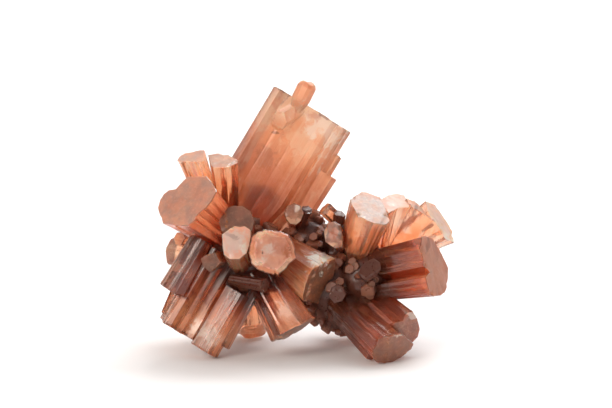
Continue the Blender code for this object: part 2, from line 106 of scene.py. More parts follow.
FRONT_UPPER_FACE = (
    (-17.0, 29.2), (-16.0, 30.4), (-14.4, 31.0), (-12.4, 30.8), (-11.0, 29.8), (-10.2, 28.0),
    (-10.6, 25.8), (-12.6, 24.4), (-15.4, 24.4), (-17.0, 26.2), (-17.4, 27.8),
)
MIDDLE_FACE = (
    (5.9, 20.4), (5.9, 19.2), (5.4, 15.8), (4.5, 13.6), (3.4, 12.1), (2.4, 11.2), (1.4, 11.6),
    (-0.4, 11.8), (-0.5, 12.7), (0.1, 15.2), (0.7, 16.9), (1.4, 18.1), (2.5, 18.9), (3.9, 19.5),
    (5.2, 20.2),
)
RIGHT_UPPER_FACE = (
    (8.8, 32.2), (10.0, 33.2), (11.2, 33.8), (12.2, 33.6), (13.6, 33.0), (15.0, 32.6),
    (15.4, 31.4), (16.2, 29.6), (16.8, 28.0), (16.2, 27.3), (14.8, 27.2), (13.4, 27.4),
    (12.0, 28.0), (10.4, 28.8), (9.8, 29.8), (9.0, 31.2),
)
RIGHT_FACE = (
    (23.0, 24.6), (24.0, 25.0), (25.4, 24.4), (26.0, 23.4), (26.8, 22.2), (27.8, 20.2),
    (28.6, 18.4), (28.6, 16.8), (28.2, 14.6), (27.8, 13.6), (27.0, 13.0), (25.4, 12.8),
    (24.6, 13.6), (24.0, 15.6), (23.8, 16.6), (24.8, 17.4), (23.6, 18.8), (23.2, 20.4),
    (22.8, 22.4),
)
LOWER_RIGHT_BACK_FACE = (
    (15.6, 5.6), (16.4, 6.8), (17.4, 7.6), (19.2, 8.0), (20.2, 9.6), (21.2, 10.0), (22.2, 8.4),
    (22.8, 6.4), (22.4, 4.6), (21.2, 3.4), (19.2, 2.0), (16.4, 2.6),
)
LOWER_RIGHT_FRONT_FACE = (
    (13.5, 0.7), (13.5, 2.0), (14.5, 3.4), (15.7, 4.6), (17.5, 5.2), (18.9, 5.4), (20.3, 4.5),
    (21.5, 3.3), (21.2, 2.3), (20.0, 1.4), (18.9, 0.6), (17.4, -0.2), (16.0, -0.6), (14.2, -0.4),
)
TALL_FINGER_FACE = (
    (-7.0, 46.6), (-6.9, 48.8), (-5.9, 49.8), (-4.4, 49.4), (-3.8, 47.4), (-4.8, 45.9),
    (-6.2, 45.8),
)
TALL_FOOT_FACE = (
    (-4.4, 29.4), (-3.8, 30.8), (-2.4, 31.4), (-1.0, 30.8), (-0.4, 29.4), (-1.0, 27.8),
    (-2.0, 27.0), (-3.2, 27.2), (-4.0, 28.2),
)
UPPER_INNER_FACE = (
    (3.5, 25.9), (4.3, 27.6), (5.6, 27.8), (6.8, 27.1), (7.4, 24.8), (7.2, 22.6), (5.7, 22.3),
    (3.8, 23.6),
)
FAR_RIGHT_TOP_FACE = (
    (15.0, 32.2), (16.4, 33.0), (18.2, 33.3), (19.6, 33.0), (20.6, 32.2), (21.4, 31.2),
    (20.4, 30.6), (18.4, 30.4), (16.4, 29.4), (15.6, 30.6),
)
TALL_PROFILE = (
    (-9.0, -0.6), (-7.6, 2.6), (4.6, 2.6), (5.7, 1.7), (6.1, 2.1), (8.1, 0.9), (8.3, 0.4),
    (9.0, -0.6), (6.2, -4.0), (-5.6, -4.2),
)
TALL_STEP_PROFILE = ((-1.6, -1.6), (-1.2, 0.8), (0.9, 0.7), (1.1, -0.4), (0.4, -1.6))
TALL_SHOULDER_PROFILE = ((-3.0, -2.6), (-2.6, 1.6), (1.4, 1.8), (2.4, 0.2), (1.8, -2.4))
UPPER_BUNDLE_PROFILE = (
    (3.0, -1.2), (2.3, 1.5), (-0.7, 3.2), (-2.3, 2.4), (-2.9, -0.4), (-2.2, -3.4), (1.4, -3.5),
)
MIDDLE_BUNDLE_PROFILE = (
    (4.1, -1.5), (3.6, 1.0), (1.4, 1.6), (0.6, 0.8), (-0.1, 2.6), (-1.1, 2.4), (-1.8, 0.8),
    (-3.6, 1.2), (-4.2, -1.8), (-1.0, -3.6), (2.5, -3.5),
)
CLEAR_BUNDLE_PROFILE = (
    (3.1, -1.2), (2.8, 2.2), (-0.8, 3.2), (-2.6, 1.2), (-3.0, -0.8), (-1.0, -2.8), (1.8, -2.6),
)
LOWER_MIDDLE_PROFILE = (
    (4.8, -0.4), (2.5, 3.4), (-4.6, 1.7), (-5.1, -1.0), (-1.7, -4.0), (2.9, -3.6),
)
FAR_RIGHT_EDGE_PROFILE = (
    (4.0, -0.6), (2.6, 2.6), (-2.4, 2.9), (-4.1, 0.4), (-2.2, -2.8), (2.2, -2.9),
)
FAR_RIGHT_OUTER_PROFILE = (
    (5.1, -0.2), (3.6, 2.7), (-3.2, 3.0), (-5.1, 0.6), (-3.4, -2.8), (3.0, -3.0),
)
SMALL_RIGHT_FACE = (
    (11.0, 18.8), (12.0, 19.8), (13.4, 20.4), (14.8, 19.6), (15.0, 18.2), (14.0, 16.8),
    (12.4, 15.8), (11.0, 16.6), (10.4, 17.6),
)
SMALL_MIDDLE_FACE = (
    (4.4, 12.8), (5.0, 14.6), (6.2, 15.2), (7.4, 14.6), (8.0, 13.2), (7.2, 11.8), (5.6, 11.4),
)


class Growth:
    """One straight crystal: its cross-section, the way it points and how it narrows to its root."""

    def __init__(self, heading, tip, length, waist, straight=0.0, rim=0.0, ridged=1.0):
        self.heading = Vector(heading).normalized()
        self.tip = Vector(tip)
        self.right = self.heading.cross(Vector((0, 0, 1))).normalized()
        self.front = self.right.cross(self.heading)
        self.length = length
        self.waist = waist
        self.straight = straight
        self.rim = rim
        self.ridged = ridged
        self.corners = []

    def share(self, depth):
        """The share of the full width that the crystal has so deep behind its end face."""
        if self.rim and depth < self.rim:
            return RIM_SHARE + (1 - RIM_SHARE) * max(depth, 0) / self.rim
        start = max(self.straight, self.rim)
        if depth <= start:
            return 1.0
        return 1.0 - (1.0 - self.waist) * (depth - start) / (self.length - start)

    def place(self, corner, depth, share):
        """Where a corner of the cross-section lies in the front plane's frame."""
        across, toward = corner
        return self.tip + (self.right * across + self.front * toward) * share - self.heading * depth

    def holds(self, point):
        """Whether a point of the front plane's frame is inside the crystal."""
        arm = Vector(point) - self.tip
        depth = -arm.dot(self.heading)
        if not 0.0 < depth < self.length:
            return False
        share = self.share(depth)
        x = arm.dot(self.right) / share
        y = arm.dot(self.front) / share
        inside = False
        for (x1, y1), (x2, y2) in zip(self.corners, self.corners[1:] + self.corners[:1]):
            if (y1 > y) != (y2 > y) and x < x1 + (x2 - x1) * (y - y1) / (y2 - y1):
                inside = not inside
        return inside


def facing(outline, out, heading, length, waist, rim=0.0):
    """A crystal whose end face shows: the outline is that face as the front plane sees it."""
    middle = Vector((sum(p[0] for p in outline), sum(p[1] for p in outline))) / len(outline)
    growth = Growth(heading, (middle.x, middle.y, out), length, waist, rim=rim)
    normal = growth.heading
    for across, up in outline:
        rise = (across - middle.x) * normal.x + (up - middle.y) * normal.y
        arm = Vector((across - middle.x, up - middle.y, -rise / normal.z))
        growth.corners.append((arm.dot(growth.right), arm.dot(growth.front)))
    return growth


def sideways(profile, tip, heading, length, waist, straight=0.0, rim=0.0, ridged=1.0):
    """A crystal seen from its side: the profile is its cross-section, as (right, to the front)."""
    growth = Growth(heading, tip, length, waist, straight, rim, ridged)
    growth.corners = list(profile)
    return growth


def beside(heading, foot, across, along, toward=0.0):
    """The end face's place on a parallel growth, from the foot of its neighbour."""
    host = Growth(heading, foot, 1.0, 1.0)
    return host.tip + host.right * across + host.heading * along + host.front * toward


def six_sided(radius, turn=0.0, cut=0.0):
    """A hexagon's corners, each split in two that stand so far apart where it is cut."""
    corners = []
    for side in range(6):
        angle = math.radians(turn + 60 * side)
        for lean in ((-cut, cut) if cut else (0.0,)):
            corners.append((radius * math.cos(angle + lean), radius * math.sin(angle + lean)))
    return corners


def tall_crystal():
    """The broad crystal at the top, its shorter neighbours and the two fingers on its front."""
    heading, tip = TALL_HEADING, TALL_TIP
    shoulder = beside(heading, tip, 9.0, -9.8, -0.6)
    return [
        sideways(TALL_PROFILE, tip, heading, 30.0, 0.55, straight=20.0, ridged=0.4),
        sideways(TALL_STEP_PROFILE, beside(heading, tip, 9.0, -5.4, -1.2), heading, 20.0, 0.85),
        sideways(TALL_SHOULDER_PROFILE, shoulder, heading, 16.0, 0.8),
        sideways(
            six_sided(1.95, 12, 0.2), (0.6, 55.5, 1.6), (0.42, 0.87, 0.22), 9.4, 0.25, straight=3.8,
            rim=1.0,
        ),
        facing(TALL_FINGER_FACE, 2.4, (-0.60, -0.36, 0.71), 7.0, 1.05),
    ]


def lower_left_bundle():
    """Parallel growths that share their sides: a short one, a ridged one and a clear one."""
    heading, foot = BUNDLE_HEADING, BUNDLE_FOOT
    edge = beside(heading, foot, -6.7, -1.8, -0.6)
    return [
        sideways(UPPER_BUNDLE_PROFILE, beside(heading, foot, 7.5, -6.2), heading, 12.0, 0.84),
        sideways(MIDDLE_BUNDLE_PROFILE, beside(heading, foot, 3.0, 0.1), heading, 18.0, 0.95),
        sideways(
            CLEAR_BUNDLE_PROFILE, beside(heading, foot, -3.8, 0.85), heading, 13.6, 0.96, ridged=0.7
        ),
        sideways(six_sided(1.4, 8), edge, heading, 14.0, 0.8),
        sideways(six_sided(1.7, 20), (-27.4, 9.0, 4.6), (-0.36, -0.93, 0.0), 11.0, 0.8),
    ]


def far_right_crystals():
    """The group behind the upper right, whose ends fan out to the right."""
    outer = (0.78, 0.50, 0.37)
    return [
        facing(FAR_RIGHT_TOP_FACE, 0.6, (0.20, 0.90, 0.39), 15.0, 0.6),
        sideways(FAR_RIGHT_EDGE_PROFILE, (23.4, 30.0, -1.2), (0.56, 0.80, 0.22), 16.0, 0.55),
        sideways(FAR_RIGHT_OUTER_PROFILE, (26.9, 27.7, -2.6), outer, 17.0, 0.55),
    ]


def upper_inner_crystals():
    """Two short crystals in the dip between the tall crystal and the upper right one."""
    return [
        facing(UPPER_INNER_FACE, 7.6, (-0.20, 0.25, 0.95), 9.0, 0.7),
        sideways(six_sided(1.5, 15), (3.7, 30.4, 3.6), (-0.66, 0.66, 0.36), 9.0, 0.9),
    ]


def far_left_crystals():
    """The crystal behind the lower left ones, with a small one above it."""
    return [
        sideways(six_sided(3.0, 25, 0.12), (-26.78, 21.61, -9.8), (-0.84, 0.12, -0.50), 13.0, 0.6),
        sideways(six_sided(1.5, 20), (-25.4, 24.3, 0.6), (-0.62, 0.14, 0.77), 11.0, 1.2),
    ]


def lower_right_crystal():
    """The stout crystal at the lower right, whose end has two steps, with a thin one beside it."""
    heading = (0.60, -0.55, 0.58)
    return [
        facing(LOWER_RIGHT_FRONT_FACE, 11.75, heading, 17.0, 0.78),
        facing(LOWER_RIGHT_BACK_FACE, 7.4, heading, 15.0, 0.66),
        sideways(six_sided(1.5, 10), (13.4, 1.1, 9.6), (0.56, -0.62, 0.55), 13.0, 0.9),
    ]


def away(spray, heading, reach, radius, turn, length, uneven=0.12):
    """A crystal that points away from the front, from the middle of its spray."""
    tip = spray + Vector(heading).normalized() * reach
    corners = []
    for number, (across, toward) in enumerate(six_sided(radius, turn, 0.12)):
        share = 1 + uneven * math.sin(1.1 * number + turn)
        corners.append((across * share, toward * share))
    return [sideways(corners, tip, heading, length, 0.6)]


PIECES = {
    "tall_crystal": tall_crystal(),
    "front_right_crystal": [facing(FRONT_RIGHT_FACE, 17.6, (0.02, 0.03, 1.0), 12.6, 0.74, rim=1.0)],
    "left_crystal": [facing(LEFT_FACE, 10.0, (-0.54, 0.46, 0.70), 17.0, 0.6)],
    "small_left_crystal": [facing(SMALL_LEFT_FACE, 11.4, (-0.45, -0.10, 0.89), 8.0, 0.7)],
    "lower_left_crystals": lower_left_bundle(),
    "lower_middle_crystal": [
        sideways(LOWER_MIDDLE_PROFILE, (-2.6, 5.9, 8.0), (0.50, -0.85, 0.17), 14.0, 0.72)
    ],
    "lower_right_crystal": lower_right_crystal(),
    "right_crystal": [facing(RIGHT_FACE, 7.0, (0.88, 0.16, 0.45), 16.0, 0.8)],
    "right_upper_crystal": [facing(RIGHT_UPPER_FACE, 7.0, (0.27, 0.78, 0.56), 16.0, 0.66)],
    "upper_inner_crystals": upper_inner_crystals(),
    "tall_foot_crystal": [facing(TALL_FOOT_FACE, 7.0, (0.0, 0.20, 0.98), 9.0, 0.7)],
    "front_left_crystal": [facing(FRONT_LEFT_FACE, 15.0, (-0.10, 0.30, 0.95), 11.0, 0.95)],
    "middle_crystal": [facing(MIDDLE_FACE, 8.2, (0.72, -0.50, 0.45), 13.0, 0.7)],
    "upper_left_crystal": [facing(UPPER_LEFT_FACE, 2.0, (-0.31, 0.87, 0.38), 17.0, 0.62)],
    "upper_middle_crystal": [facing(UPPER_MIDDLE_FACE, 3.0, (-0.08, 0.89, 0.45), 17.0, 0.62)],
    "front_upper_crystal": [facing(FRONT_UPPER_FACE, 10.5, (-0.12, 0.45, 0.885), 11.0, 0.7)],
    "far_right_crystals": far_right_crystals(),
    "back_foot_crystal": away(SPRAY_LEFT, (0.06, -0.74, -0.67), 17.95, 3.6, 10, 13.0, 0),
    "far_left_crystals": far_left_crystals(),
    "back_left_crystal": away(SPRAY_LEFT, (-0.45, 0.40, -0.80), 18.0, 4.1, 5, 13.5),
    "back_middle_crystal": away(SPRAY_LEFT, (0.22, 0.12, -0.97), 18.5, 4.6, 20, 14.0),
    "back_low_left_crystal": away(SPRAY_LEFT, (-0.62, -0.36, -0.70), 16.5, 3.6, 0, 12.0),
    "back_top_crystal": away(SPRAY_LEFT, (0.20, 0.78, -0.59), 17.0, 3.9, 15, 12.0),
    "back_right_crystal": away(SPRAY_RIGHT, (0.12, 0.30, -0.95), 17.5, 4.3, 10, 13.5),
    "back_far_right_crystal": away(SPRAY_RIGHT, (0.66, 0.10, -0.74), 15.5, 3.2, 0, 12.0),
    "back_right_foot_crystal": away(SPRAY_RIGHT, (0.16, -0.62, -0.77), 15.68, 3.3, 25, 12.0, 0),
    "back_inner_crystal": away(SPRAY_RIGHT, (-0.34, -0.40, -0.85), 15.0, 3.3, 15, 11.5),
    "back_bridge_crystal": away(BRIDGE, (0.16, 0.34, -0.93), 14.5, 3.5, 20, 11.0),
}
LUMPS = (
    ((-12.0, 19.5, -1.0), 8.2),
    ((11.6, 16.4, -1.0), 7.0),
    ((-1.6, 19.0, -1.0), 6.2),
    ((4.6, 15.0, -0.5), 6.2),
    ((0.6, 24.0, -1.5), 4.6),
    ((6.6, 9.6, -0.6), 4.0),
    ((3.6, 10.6, -0.4), 3.0),
    ((6.4, 21.0, -1.4), 3.2),
)
TOLD_APART = (
    facing(SMALL_RIGHT_FACE, 9.4, (0.10, 0.15, 0.98), 8.0, 0.7),
    facing(SMALL_MIDDLE_FACE, 8.4, (-0.15, -0.10, 0.98), 8.0, 0.7),
    sideways(six_sided(1.3, 0), (6.7, 29.4, 3.6), (0.12, 0.88, 0.46), 8.0, 0.7),
    sideways(six_sided(1.5, 10), (-8.0, 15.0, 11.2), (0.86, -0.14, 0.45), 8.0, 0.8),
    sideways(six_sided(1.2, 30), (0.2, 30.2, 4.2), (0.30, 0.72, 0.62), 7.0, 0.7),
)


def stand(place):
    """A point of the leaning front plane's frame, in metres with Z up."""
    across, up, out = place
    return Vector((
        across * MM,
        (up * math.sin(LEAN) - out * math.cos(LEAN)) * MM,
        (up * math.cos(LEAN) + out * math.sin(LEAN)) * MM,
    ))


def turned(heading):
    """A heading of the front plane's frame as the row's frame has it."""
    return stand(heading).normalized()


def frame_shift():
    """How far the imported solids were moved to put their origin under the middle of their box."""
    low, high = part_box("tall_crystal")
    corners = []
    for growth in PIECES["tall_crystal"]:
        for depth in (0.0, growth.rim, growth.straight, growth.length):
            share = growth.share(depth)
            corners += [stand(growth.place(c, depth, share)) for c in growth.corners]
    return Vector((
        high.x - max(c.x for c in corners),
        low.y - min(c.y for c in corners),
        high.z - max(c.z for c in corners),
    ))


SHIFT = frame_shift()


def sampled(corners, step):
    """Points along an outline no further apart than the step, each with its outward normal."""
    area = sum(a[0] * b[1] - b[0] * a[1] for a, b in zip(corners, corners[1:] + corners[:1]))
    turn = 1 if area > 0 else -1
    points = []
    for start, stop in zip(corners, corners[1:] + corners[:1]):
        side = Vector(stop) - Vector(start)
        normal = Vector((side.y, -side.x)).normalized() * turn
        count = max(1, math.ceil(side.length / step))
        for number in range(count):
            points.append((Vector(start) + side * (number / count), normal, number == 0))
    finished = []
    for index, (point, normal, corner) in enumerate(points):
        before = points[index - 1][1]
        outward = (normal + before).normalized() if corner else normal
        finished.append((point, outward, corner))
    return finished


def eased(value):
    """A smooth step from 0 to 1."""
    value = min(max(value, 0.0), 1.0)
    return value * value * (3 - 2 * value)


# How much of a ridge is left on a corner, how many points wide a band is, the share of the bands
# that stop on the way down a crystal, and the depth by which they stop.
CORNER_SHARE = 0.25
BAND_WIDTHS = (2, 7)
STOPPED_SHARE = 0.6
LAST_STOP = 9.0


def ridges(points, chance, relief):
    """How far each point of an outline stands out: fine ridges, grooves and broader bands."""
    fine = []
    for _, _, corner in points:
        height = chance.uniform(-1.0, 0.35) * relief.ridge_depth / MM
        if not corner and chance.random() < relief.groove_share:
            height -= chance.uniform(0.5, 1.0) * relief.groove_depth / MM
        fine.append(CORNER_SHARE * height if corner else height)
    bands = []
    while len(bands) < len(points):
        width = chance.randint(*BAND_WIDTHS)
        height = chance.uniform(-1.0, 0.2) * relief.band_depth / MM
        stop = chance.uniform(0.0, LAST_STOP) if chance.random() < STOPPED_SHARE else 0.0
        bands += [(height, stop)] * width
    return fine, bands[: len(points)]


# The depths of the first rings, in millimetres and as shares of a domed end's depth.
NEAR_RINGS = (0.45, 1.0)
RIM_RINGS = (0.12, 0.3, 0.55, 0.8, 1.0)


def side_depths(growth, relief):
    """The depths of the rings down a crystal's side, closer together near its end."""
    bevel = relief.rim_bevel / MM
    depths = [bevel, *NEAR_RINGS]
    if growth.rim:
        depths += [growth.rim * share for share in RIM_RINGS]
    spacing = relief.ring_spacing / MM
    depth = NEAR_RINGS[-1] + spacing
    while depth < growth.length - 0.4 * spacing:
        depths.append(depth)
        depth += spacing
    if growth.straight:
        depths.append(growth.straight)
    return sorted(d for d in set(depths) if d >= bevel) + [growth.length]


def scattered(chance, axes=3):
    """A random place in the noise, so that no two crystals have the same pattern."""
    return Vector([chance.uniform(-50, 50) for _ in range(axes)] + [0] * (3 - axes))


def end_relief(growth, chance, relief):
    """A function that tells how deep a spot of the end face lies: hollows, grain and steps."""
    shift = scattered(chance, axes=2)
    rough = relief.face_relief / MM
    radius = max(Vector(c).length for c in growth.corners)
    steps = []
    for _ in range(chance.choice((1, 1, 2))):
        angle = chance.uniform(0, math.tau)
        across = Vector((math.cos(angle), math.sin(angle), 0))
        steps.append((across, chance.uniform(0.1, 0.6) * radius, chance.uniform(0.4, 1.0)))

    def depth(spot):
        spot = Vector((spot.x, spot.y, 0))
        hollow = noise.noise(spot * 0.9 + shift)
        grain = noise.noise(spot * 3.5 + shift)
        value = rough * (1.2 * hollow + 0.4 * grain)
        for across, edge, size in steps:
            ragged = 0.35 * noise.noise(spot * 1.3 - shift)
            value += relief.face_step / MM * size * eased((spot.dot(across) - edge + ragged) / 0.3)
        return value

    return depth


# The rings of an end face as shares of its width, how fast chips change along the outline, how
# strong the noise is where one starts, and how far a domed end bulges.
END_RINGS = (0.12, 0.24, 0.36, 0.48, 0.6, 0.7, 0.8, 0.88, 0.95)
CHIP_PITCH = 0.23
CHIP_START = 0.28
RIM_BULGE = 0.35


def chipped(index, shades, relief):
    """How deep the end face's rim is chipped at one point of the outline."""
    value = noise.noise(Vector((index * CHIP_PITCH, 0, 0)) + shades)
    return max(0.0, value - CHIP_START) * relief.chip_depth / MM


def crystal_points(growth, chance, relief):
    """The rings of points of one crystal from the middle of its end face down to its root."""
    points = sampled(growth.corners, relief.ridge_spacing / MM)
    fine, bands = ridges(points, chance, relief)
    sunk = end_relief(growth, chance, relief)
    shades = scattered(chance)
    bevel = relief.rim_bevel / MM
    width = max(p[0].length for p in points)
    top = growth.share(0.0)
    rings = []
    for share in (*END_RINGS, 1 - bevel / width):
        ring = []
        for index, (point, _, _) in enumerate(points):
            chip = chipped(index, shades, relief) * eased((share - 0.75) / 0.2)
            spot = point * (share * top)
            ring.append(growth.place(spot, sunk(spot) + chip, 1.0))
        rings.append(ring)
    for depth in side_depths(growth, relief):
        share = growth.share(depth)
        if growth.rim and depth < growth.rim:
            arc = depth / growth.rim
            share += RIM_BULGE * (1 - RIM_SHARE) * arc * (1 - arc)
        near = eased(depth / 0.8)
        ring = []
        for index, (point, normal, _) in enumerate(points):
            height, stop = bands[index]
            along = noise.noise(Vector((index * 0.35, depth * 0.22, 3)) + shades)
            sway = noise.noise(Vector((point.x * 0.25, point.y * 0.25, depth * 0.12)) + shades)
            swell = fine[index] * (1 + 0.7 * along)
            swell += height * eased((depth - stop) / 0.35 + 0.5) + 0.10 * sway
            swell *= growth.ridged
            spot = point * share + normal * (swell * (0.35 + 0.65 * near))
            sink = sunk(point * (top * 0.97)) + chipped(index, shades, relief)
            ring.append(growth.place(spot, depth + sink * (1 - eased(depth / 2.2)), 1.0))
        rings.append(ring)
    return rings


def closed_mesh(rings, front, back, end_rings):
    """A closed bmesh from rings of points. Its end face has a material of its own."""
    mesh = bmesh.new()
    loops = [[mesh.verts.new(point) for point in ring] for ring in rings]
    first = mesh.verts.new(front)
    last = mesh.verts.new(back)
    count = len(rings[0])
    for index in range(count):
        after = (index + 1) % count
        mesh.faces.new((first, loops[0][index], loops[0][after])).material_index = 1
        mesh.faces.new((last, loops[-1][after], loops[-1][index]))
        for number, (near, far) in enumerate(zip(loops, loops[1:])):
            made = mesh.faces.new((near[index], far[index], far[after], near[after]))
            made.material_index = 1 if number < end_rings else 0
    bmesh.ops.recalc_face_normals(mesh, faces=mesh.faces)
    if mesh.calc_volume(signed=True) < 0:
        bmesh.ops.reverse_faces(mesh, faces=mesh.faces)
    return mesh


def linked(name, mesh):
    """A bmesh as an object of the scene."""
    data = bpy.data.meshes.new(name)
    mesh.to_mesh(data)
    mesh.free()
    made = bpy.data.objects.new(name, data)
    bpy.context.scene.collection.objects.link(made)
    return made


def settled(point):
    """A point of the front plane's frame where the solids have it, but never below the ground."""
    place = stand(point) + SHIFT
    place.z = max(place.z, 0.0)
    return place


def grow(name, growth, chance, relief):
    """One detailed crystal as an object."""
    rings = crystal_points(growth, chance, relief)
    placed = [[settled(point) for point in ring] for ring in rings]
    front = sum((point for point in placed[0]), Vector()) / len(placed[0])
    back = settled(growth.place((0, 0), growth.length, 1.0))
    on_rim = sum(depth < growth.rim for depth in side_depths(growth, relief))
    return linked(name, closed_mesh(placed, front, back, len(END_RINGS) + on_rim))


def combined(target, helpers):
    """The target joined with the helpers into one skin. The helpers are used up."""
    for helper in helpers:
        modifier = target.modifiers.new("join", "BOOLEAN")
        modifier.operation = "UNION"
        modifier.solver = "MANIFOLD"
        modifier.object = helper
    bpy.context.view_layer.update()
    evaluated = target.evaluated_get(bpy.context.evaluated_depsgraph_get())
    result = bpy.data.meshes.new_from_object(evaluated)
    target.modifiers.clear()
    target.data = result
    for helper in helpers:
        bpy.data.objects.remove(helper)


def creased(piece, angle=22.0):
    """Smooth along each ridge and crisp across it."""
    piece.data.shade_smooth()
    piece.data.set_sharp_from_angle(angle=math.radians(angle))


def sockets(tree, in_out, rows):
    """Named sockets of a node group, each from its kind and name, and its value if it has one."""
    made = []
    for kind, name, *value in rows:
        added = tree.interface.new_socket(
            name=name, in_out=in_out, socket_type=f"NodeSocket{kind}"
        )
        if value:
            added.default_value = value[0]
        made.append(added)
    return made


class Wiring:
    """Short ways to add and join nodes of one tree."""

    def __init__(self, tree):
        self.tree = tree

    def node(self, kind, inputs=None, **settings):
        """Adds a node with these settings and feeds its named inputs."""
        made = self.tree.nodes.new(kind)
        for key, value in settings.items():
            setattr(made, key, value)
        self.fill(made, inputs or {})
        return made

    def fill(self, node, inputs):
        """Feeds a node's named inputs."""
        for name, value in inputs.items():
            self.feed(node.inputs[name], value)

    def feed(self, target, value):
        """Links a socket to an input, or sets the input's own value."""
        if isinstance(value, bpy.types.NodeSocket):
            self.tree.links.new(value, target)
        else:
            target.default_value = value

    def math(self, operation, first, second, clamp=False):
        made = self.node("ShaderNodeMath", operation=operation, use_clamp=clamp)
        for target, value in zip(made.inputs, (first, second)):
            self.feed(target, value)
        return made.outputs[0]

    def plus(self, first, second):
        return self.math("ADD", first, second)

    def minus(self, first, second):
        return self.math("SUBTRACT", first, second)

    def times(self, first, second, clamp=False):
        return self.math("MULTIPLY", first, second, clamp)

    def vector(self, operation, first, second):
        """A vector sum, difference or dot product, or the first one scaled by a number."""
        made = self.node("ShaderNodeVectorMath", operation=operation)
        self.feed(made.inputs[0], first)
        self.feed(made.inputs["Scale" if operation == "SCALE" else 1], second)
        return made.outputs["Value" if operation == "DOT_PRODUCT" else "Vector"]

    def noise(self, place, scale, detail=2.0, rough=0.5, distortion=0.0):
        inputs = {"Vector": place, "Scale": scale, "Detail": detail, "Roughness": rough}
        made = self.node("ShaderNodeTexNoise", {**inputs, "Distortion": distortion})
        return made.outputs["Fac"]

    def range(self, value, low, high, first=0.0, last=1.0):
        """The value's smooth way from first to last, while it goes from low to high."""
        made = self.node("ShaderNodeMapRange", interpolation_type="SMOOTHSTEP")
        for target, given in zip(made.inputs, (value, low, high, first, last)):
            self.feed(target, given)
        return made.outputs["Result"]

    def mix(self, share, first, second, kind="RGBA"):
        inputs = {"Factor": share, "A": first, "B": second}
        return self.node("ShaderNodeMix", inputs, data_type=kind).outputs["Result"]


def new_material(name):
    """A new material, the wiring of its tree and its shader."""
    material = bpy.data.materials.new(name)
    material.use_nodes = True
    tree = material.node_tree
    return material, Wiring(tree), tree.nodes["Principled BSDF"]


PATTERN_INPUTS = (
    ("Vector", "Tip"), ("Vector", "Heading"), ("Color", "Tip Colour"), ("Color", "Body Colour"),
    ("Color", "Root Colour"), ("Color", "Face Colour"), ("Float", "Body Depth", 0.006),
    ("Float", "Root Depth", 0.013), ("Float", "Streaks", 0.5), ("Float", "Clouds", 0.5),
    ("Float", "Frost", 0.1),
)
PATTERN_OUTPUTS = (("Color", "Colour"), ("Float", "Roughness"), ("Vector", "Normal"))
# How much the growth lines and the veils are drawn out along a crystal, and how far, in metres,
# clouds push the change of colour.
LINE_STRETCH = 0.045
VEIL_STRETCH = 0.22
CLOUD_PUSH = 0.016


